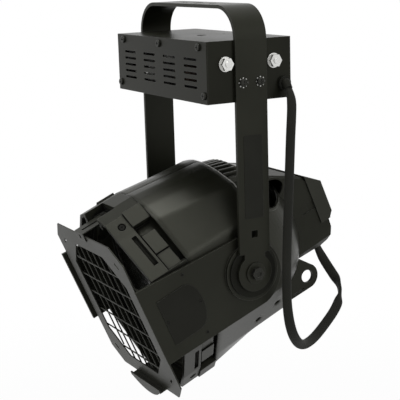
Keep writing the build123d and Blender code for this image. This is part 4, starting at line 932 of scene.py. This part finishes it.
@dataclass
class Head(SubAssembly):
    """Cast ring, shell halves and rear housing with the cheeks, cap and safety eye."""

    coats: ClassVar[dict[Finish, str]] = {
        CAST_PAINT: "front_ring",
        DOME_PAINT: "rear_housing",
        SHELL_PAINT: "shell_right shell_left",
        CHEEK_PAINT: "side_plate_right side_plate_left frame_rests bottom_holder safety_eye",
        BADGE_PAINT: "badge_plates",
        CAP_PLASTIC: "rear_cap",
        LID_PLASTIC: "cap_cover",
        DEEP_SCREW: "ring_screws shell_screws cheek_rivets",
        BLACK_STEEL: "rear_screws cap_screws",
        RUBBER: "lead_bush",
        CERAMIC: "cap_terminals",
    }


@dataclass
class Optics(SubAssembly):
    """Lens set, reflector and lamp."""

    coats: ClassVar[dict[Finish, str]] = {
        RING_ALUMINIUM: "lens_ring lens_carrier",
        RUBBER: "lens_gasket",
        LENS_GLASS: "lens",
        ZINC: "lens_clips reflector_screws",
        BLACK_STEEL: "lens_retainer",
        MIRROR: "reflector",
        LAMP_GLASS: "lamp_envelope",
        CERAMIC: "lamp_arc_tube lamp_base lamp_holder",
        TRAY_STEEL: "holder_bracket heat_shield",
    }


@dataclass
class ColourFrame(SubAssembly):
    """Colour frame with its guard mesh, and the clip that holds it."""

    coats: ClassVar[dict[Finish, str]] = {FRAME_PAINT: "colour_frame mesh_wires frame_clip"}
    rivet_station: float = 0.096  # along the beam from the tilt axis
    drawn_back: float = 0.5

    def spring_leaf(self) -> None:
        """Swaps the clip for a copy of its mesh that rides on the head."""
        leaf = in_scene("frame_clip_leaf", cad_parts["frame_clip"].data.copy())
        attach(leaf, "head")
        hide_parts("frame_clip")
        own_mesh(leaf)
        LOG.info("%s made, body head", leaf.name)


@dataclass
class LampLead(SubAssembly):
    """Flat sleeved lead from the box's gland to the bush under the rear cap."""

    width: float = 0.012
    thick: float = 0.0046
    end_width: float = 0.0088
    end_flat: float = 0.8  # thickness of the ends against their width
    taper: float = 0.02  # length over which an end grows to the full width
    corner_power: float = 0.75  # 1 makes the section an ellipse, less squares it
    sides: int = 28
    line_order: int = 3
    line_steps: int = 24
    length: float = 0.515
    # Which way the flat side faces, at shares of the length: it turns over once in the loop.
    facings: Sequence[tuple[float, Spot]] = (
        (0.0, (1.0, 0.0, 0.0)),
        (0.45, (1.0, 0.0, 0.0)),
        (0.62, (0.85, -0.48, 0.21)),
        (0.82, (0.85, -0.48, 0.21)),
        (0.87, (0.52, 0.84, -0.16)),
        (0.92, (-0.85, 0.48, -0.21)),
        (1.0, (-0.95, -0.3, 0.0)),
    )
    # From the gland to the bush, in millimetres.
    route: Sequence[Spot] = (
        (117.1, 44.6, -94.1),
        (122.2, 44.6, -100.2),
        (126.3, 43.2, -109.4),
        (128.7, 41.0, -123.2),
        (129.2, 38.9, -147.0),
        (128.4, 37.4, -187.0),
        (127.2, 35.6, -232.0),
        (127.0, 33.4, -277.0),
        (128.2, 31.4, -318.0),
        (126.0, 34.0, -352.0),
        (118.5, 45.5, -382.5),
        (104.0, 67.0, -404.0),
        (87.0, 95.0, -407.0),
        (75.0, 121.5, -397.0),
        (66.5, 147.0, -380.5),
        (58.5, 159.5, -366.0),
        (49.0, 162.8, -354.0),
        (39.0, 159.8, -342.5),
        (31.0, 154.6, -329.0),
        (27.0, 148.5, -314.9),
        (27.0, 144.6, -305.7),
    )

    def line(self) -> list[Vector]:
        """Points of the lead's own smooth line, in the row frame.

        Returns:
            The points in order from the gland.
        """
        curve = bpy.data.curves.new("lead line", "CURVE")
        curve.dimensions = "3D"
        curve.resolution_u = self.line_steps
        spline = curve.splines.new("NURBS")
        spline.points.add(len(self.route) - 1)
        for point, spot in zip(spline.points, self.route):
            point.co = (*(value * MM for value in spot), 1.0)
        spline.order_u = self.line_order
        spline.use_endpoint_u = True
        holder = in_scene("lead line", curve)
        bpy.context.view_layer.update()
        graph = bpy.context.evaluated_depsgraph_get()
        mesh = bpy.data.meshes.new_from_object(holder.evaluated_get(graph))
        points = [vertex.co.copy() for vertex in mesh.vertices]
        bpy.data.objects.remove(holder)
        bpy.data.curves.remove(curve)
        bpy.data.meshes.remove(mesh)
        return points

    def facing(self, share: float) -> Vector:
        """Which way the flat side faces.

        Args:
            share: How far along the lead, from 0 to 1.

        Returns:
            The direction, not yet square to the lead.
        """
        for (start, first), (end, second) in zip(self.facings, self.facings[1:]):
            if share <= end:
                step = eased((share - start) / (end - start))
                return Vector(first).lerp(Vector(second), step).normalized()
        return Vector(self.facings[-1][1])

    def section(self, to_end: float) -> tuple[float, float]:
        """Size of the lead's section.

        Args:
            to_end: Distance to the nearer end, along the lead.

        Returns:
            Its width and its thickness.
        """
        share = eased(min(1.0, to_end / self.taper))
        end_thick = self.end_width * self.end_flat
        wide = self.end_width + (self.width - self.end_width) * share
        return wide, end_thick + (self.thick - end_thick) * share

    def skin(self, rings: int) -> list[list[int]]:
        """Faces of the sleeve, with a face across each end.

        Args:
            rings: How many rings of points it has.

        Returns:
            The faces.
        """
        faces = []
        for ring in range(rings - 1):
            for side in range(self.sides):
                a = ring * self.sides + side
                b = ring * self.sides + (side + 1) % self.sides
                faces.append([a, b, b + self.sides, a + self.sides])
        faces.append(list(reversed(range(self.sides))))
        faces.append(list(range((rings - 1) * self.sides, rings * self.sides)))
        return faces

    def build(self) -> bpy.types.Object:
        """Makes the sleeve round its line, flat across most of its run.

        Returns:
            The lead.
        """
        line = self.line()
        runs = [0.0]
        for before, after in zip(line, line[1:]):
            runs.append(runs[-1] + (after - before).length)
        total = runs[-1]
        points, marks = [], []
        for index, centre in enumerate(line):
            run = runs[index]
            ahead = line[min(index + 1, len(line) - 1)] - line[max(index - 1, 0)]
            ahead.normalize()
            across = self.facing(run / total).cross(ahead).normalized()
            proud = ahead.cross(across)
            wide, deep = self.section(min(run, total - run))
            for side in range(self.sides):
                turn = TURN * side / self.sides
                c, s = math.cos(turn), math.sin(turn)
                x = math.copysign(abs(c) ** self.corner_power, c) * wide / 2
                y = math.copysign(abs(s) ** self.corner_power, s) * deep / 2
                points.append(centre + across * x + proud * y)
                marks.append((run, side / self.sides))
        faces = self.skin(len(line))
        lead = self.mesh_piece("lamp_lead_sleeve", points, faces, LEAD_SLEEVE, None)
        self.lay_uv(lead.data, marks)
        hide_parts("lamp_lead")
        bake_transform(lead)
        LOG.info("lead line is %.1f mm long", total / MM)
        return lead

    def lay_uv(self, mesh: bpy.types.Mesh, marks: Sequence[tuple[float, float]]) -> None:
        """Writes metres along the lead and share round it into the sleeve's UV layer.

        Args:
            mesh: The sleeve.
            marks: One pair for each vertex.
        """
        layer = mesh.uv_layers.new(name=LEAD_SLEEVE.uv)
        half_round = 0.5
        for polygon in mesh.polygons:
            rows = [marks[mesh.loops[i].vertex_index] for i in polygon.loop_indices]
            shares = [v for _, v in rows]
            wraps = max(shares) - min(shares) > half_round
            for i, (u, v) in zip(polygon.loop_indices, rows):
                layer.data[i].uv = (u, v + 1.0 if wraps and v < half_round else v)


# ------------------------------------------------------------------------ studio
@dataclass(frozen=True)
class SoftBox:
    """One soft area lamp, aimed at a point."""

    name: str
    place: Spot
    size: Band
    power: float
    aim: Spot = (0.0, 0.0, -0.25)

    def hang(self) -> None:
        """Puts the lamp in the scene."""
        data = bpy.data.lights.new(self.name, "AREA")
        data.shape = "RECTANGLE"
        data.size, data.size_y = self.size
        data.energy = self.power
        lamp = in_scene(self.name, data)
        lamp.location = self.place
        aim = Vector(self.aim) - Vector(self.place)
        lamp.rotation_euler = aim.to_track_quat("-Z", "Y").to_euler()


@dataclass
class Studio:
    """Pale floor, white surroundings, soft lamps and the camera."""

    floor_drop: float = -0.95
    floor_half: float = 60.0
    floor_grey: float = 0.86
    shadow_reach: Band = (0.7, 2.2)
    shadow_share: float = 0.12  # how much of the floor's own light shows near the part
    sky: float = 0.4
    lamps: Sequence[SoftBox] = (
        SoftBox("top", (0.2, -0.1, 1.9), (1.2, 1.2), 31.0),
        SoftBox("front left", (-0.6, -2.2, 0.5), (1.6, 1.8), 16.0),
        SoftBox("right", (2.4, 0.6, 0.7), (1.0, 1.8), 12.0),
    )
    lens: float = 100.06
    view_range: Band = (0.05, 200.0)
    eye: Spot = (1.14226, -0.64709, 0.04982)
    right: Spot = (0.494827, 0.868466, -0.030225)
    up: Spot = (-0.169528, 0.130588, 0.976835)
    back: Spot = (0.852295, -0.478241, 0.211847)

    def seen(self, shade: Shade) -> Value:
        """Finds the rays that show the surroundings, straight on, in a gloss or through glass.

        Args:
            shade: The material or world that asks.

        Returns:
            1 for those rays, 0 for others.
        """
        rays = [
            shade.add("LightPath", output=name)
            for name in ("Is Camera Ray", "Is Glossy Ray", "Is Transmission Ray")
        ]
        return (rays[0] + rays[1] + rays[2]).clamped()

    def make_floor(self) -> None:
        """Lays a pale floor that keeps the shadow."""
        half = self.floor_half
        mesh = bpy.data.meshes.new("floor")
        corners = [(-half, -half), (half, -half), (half, half), (-half, half)]
        mesh.from_pydata([(x, y, self.floor_drop) for x, y in corners], [], [[0, 1, 2, 3]])
        shade = Shade(bpy.data.materials.new("pale floor"))
        grey = (self.floor_grey, self.floor_grey, self.floor_grey, 1.0)
        matt = shade.add("BsdfDiffuse", inputs={"Color": grey})
        white = shade.add("Emission", inputs={"Color": (1.0, 1.0, 1.0, 1.0), "Strength": 1.0})
        span = shade.add("VectorMath", {"operation": "LENGTH"}, {0: shade.place()}, "Value")
        far = span.between(*self.shadow_reach)
        share = self.seen(shade) * ((1.0 - self.shadow_share) + self.shadow_share * far)
        mixed = shade.add("MixShader", inputs={0: share, 1: matt, 2: white})
        shade.add("OutputMaterial", inputs={"Surface": mixed})
        mesh.materials.append(shade.owner)
        floor = in_scene("floor", mesh)

    def make_sky(self) -> None:
        """White surroundings: plain white to look at, softer as a light."""
        shade = Shade(bpy.data.worlds.new("studio"))
        strength = self.sky + (1.0 - self.sky) * self.seen(shade)
        inputs = {"Color": (1.0, 1.0, 1.0, 1.0), "Strength": strength}
        shade.add("OutputWorld", inputs={"Surface": shade.add("Background", inputs=inputs)})
        bpy.context.scene.world = shade.owner

    def make_camera(self) -> None:
        """Stands the camera at the viewing angle."""
        data = bpy.data.cameras.new("camera")
        data.lens = self.lens
        data.clip_start, data.clip_end = self.view_range
        camera = in_scene("camera", data)
        turn = Matrix((self.right, self.up, self.back)).transposed().to_4x4()
        camera.matrix_world = Matrix.Translation(self.eye) @ turn
        bpy.context.scene.camera = camera

    def build(self) -> None:
        """Makes the whole studio."""
        self.make_camera()
        self.make_floor()
        self.make_sky()
        for lamp in self.lamps:
            lamp.hang()
        bpy.context.scene.view_settings.view_transform = "Standard"
        LOG.info("studio ready with %d lamps", len(self.lamps))


def main() -> None:
    """Builds the studio, dresses every sub-assembly and adds the soft pieces."""
    logging.basicConfig(level=logging.INFO, format="%(name)s: %(message)s")
    Studio().build()
    finishes = Finishes()
    LampLead(finishes).build()
    yoke = Yoke(finishes)
    yoke.dress()
    yoke.blank_label()
    for part in (BallastBox, Head, Optics):
        part(finishes).dress()
    colour_frame = ColourFrame(finishes)
    colour_frame.dress()
    colour_frame.spring_leaf()


if __name__ == "__main__":
    main()
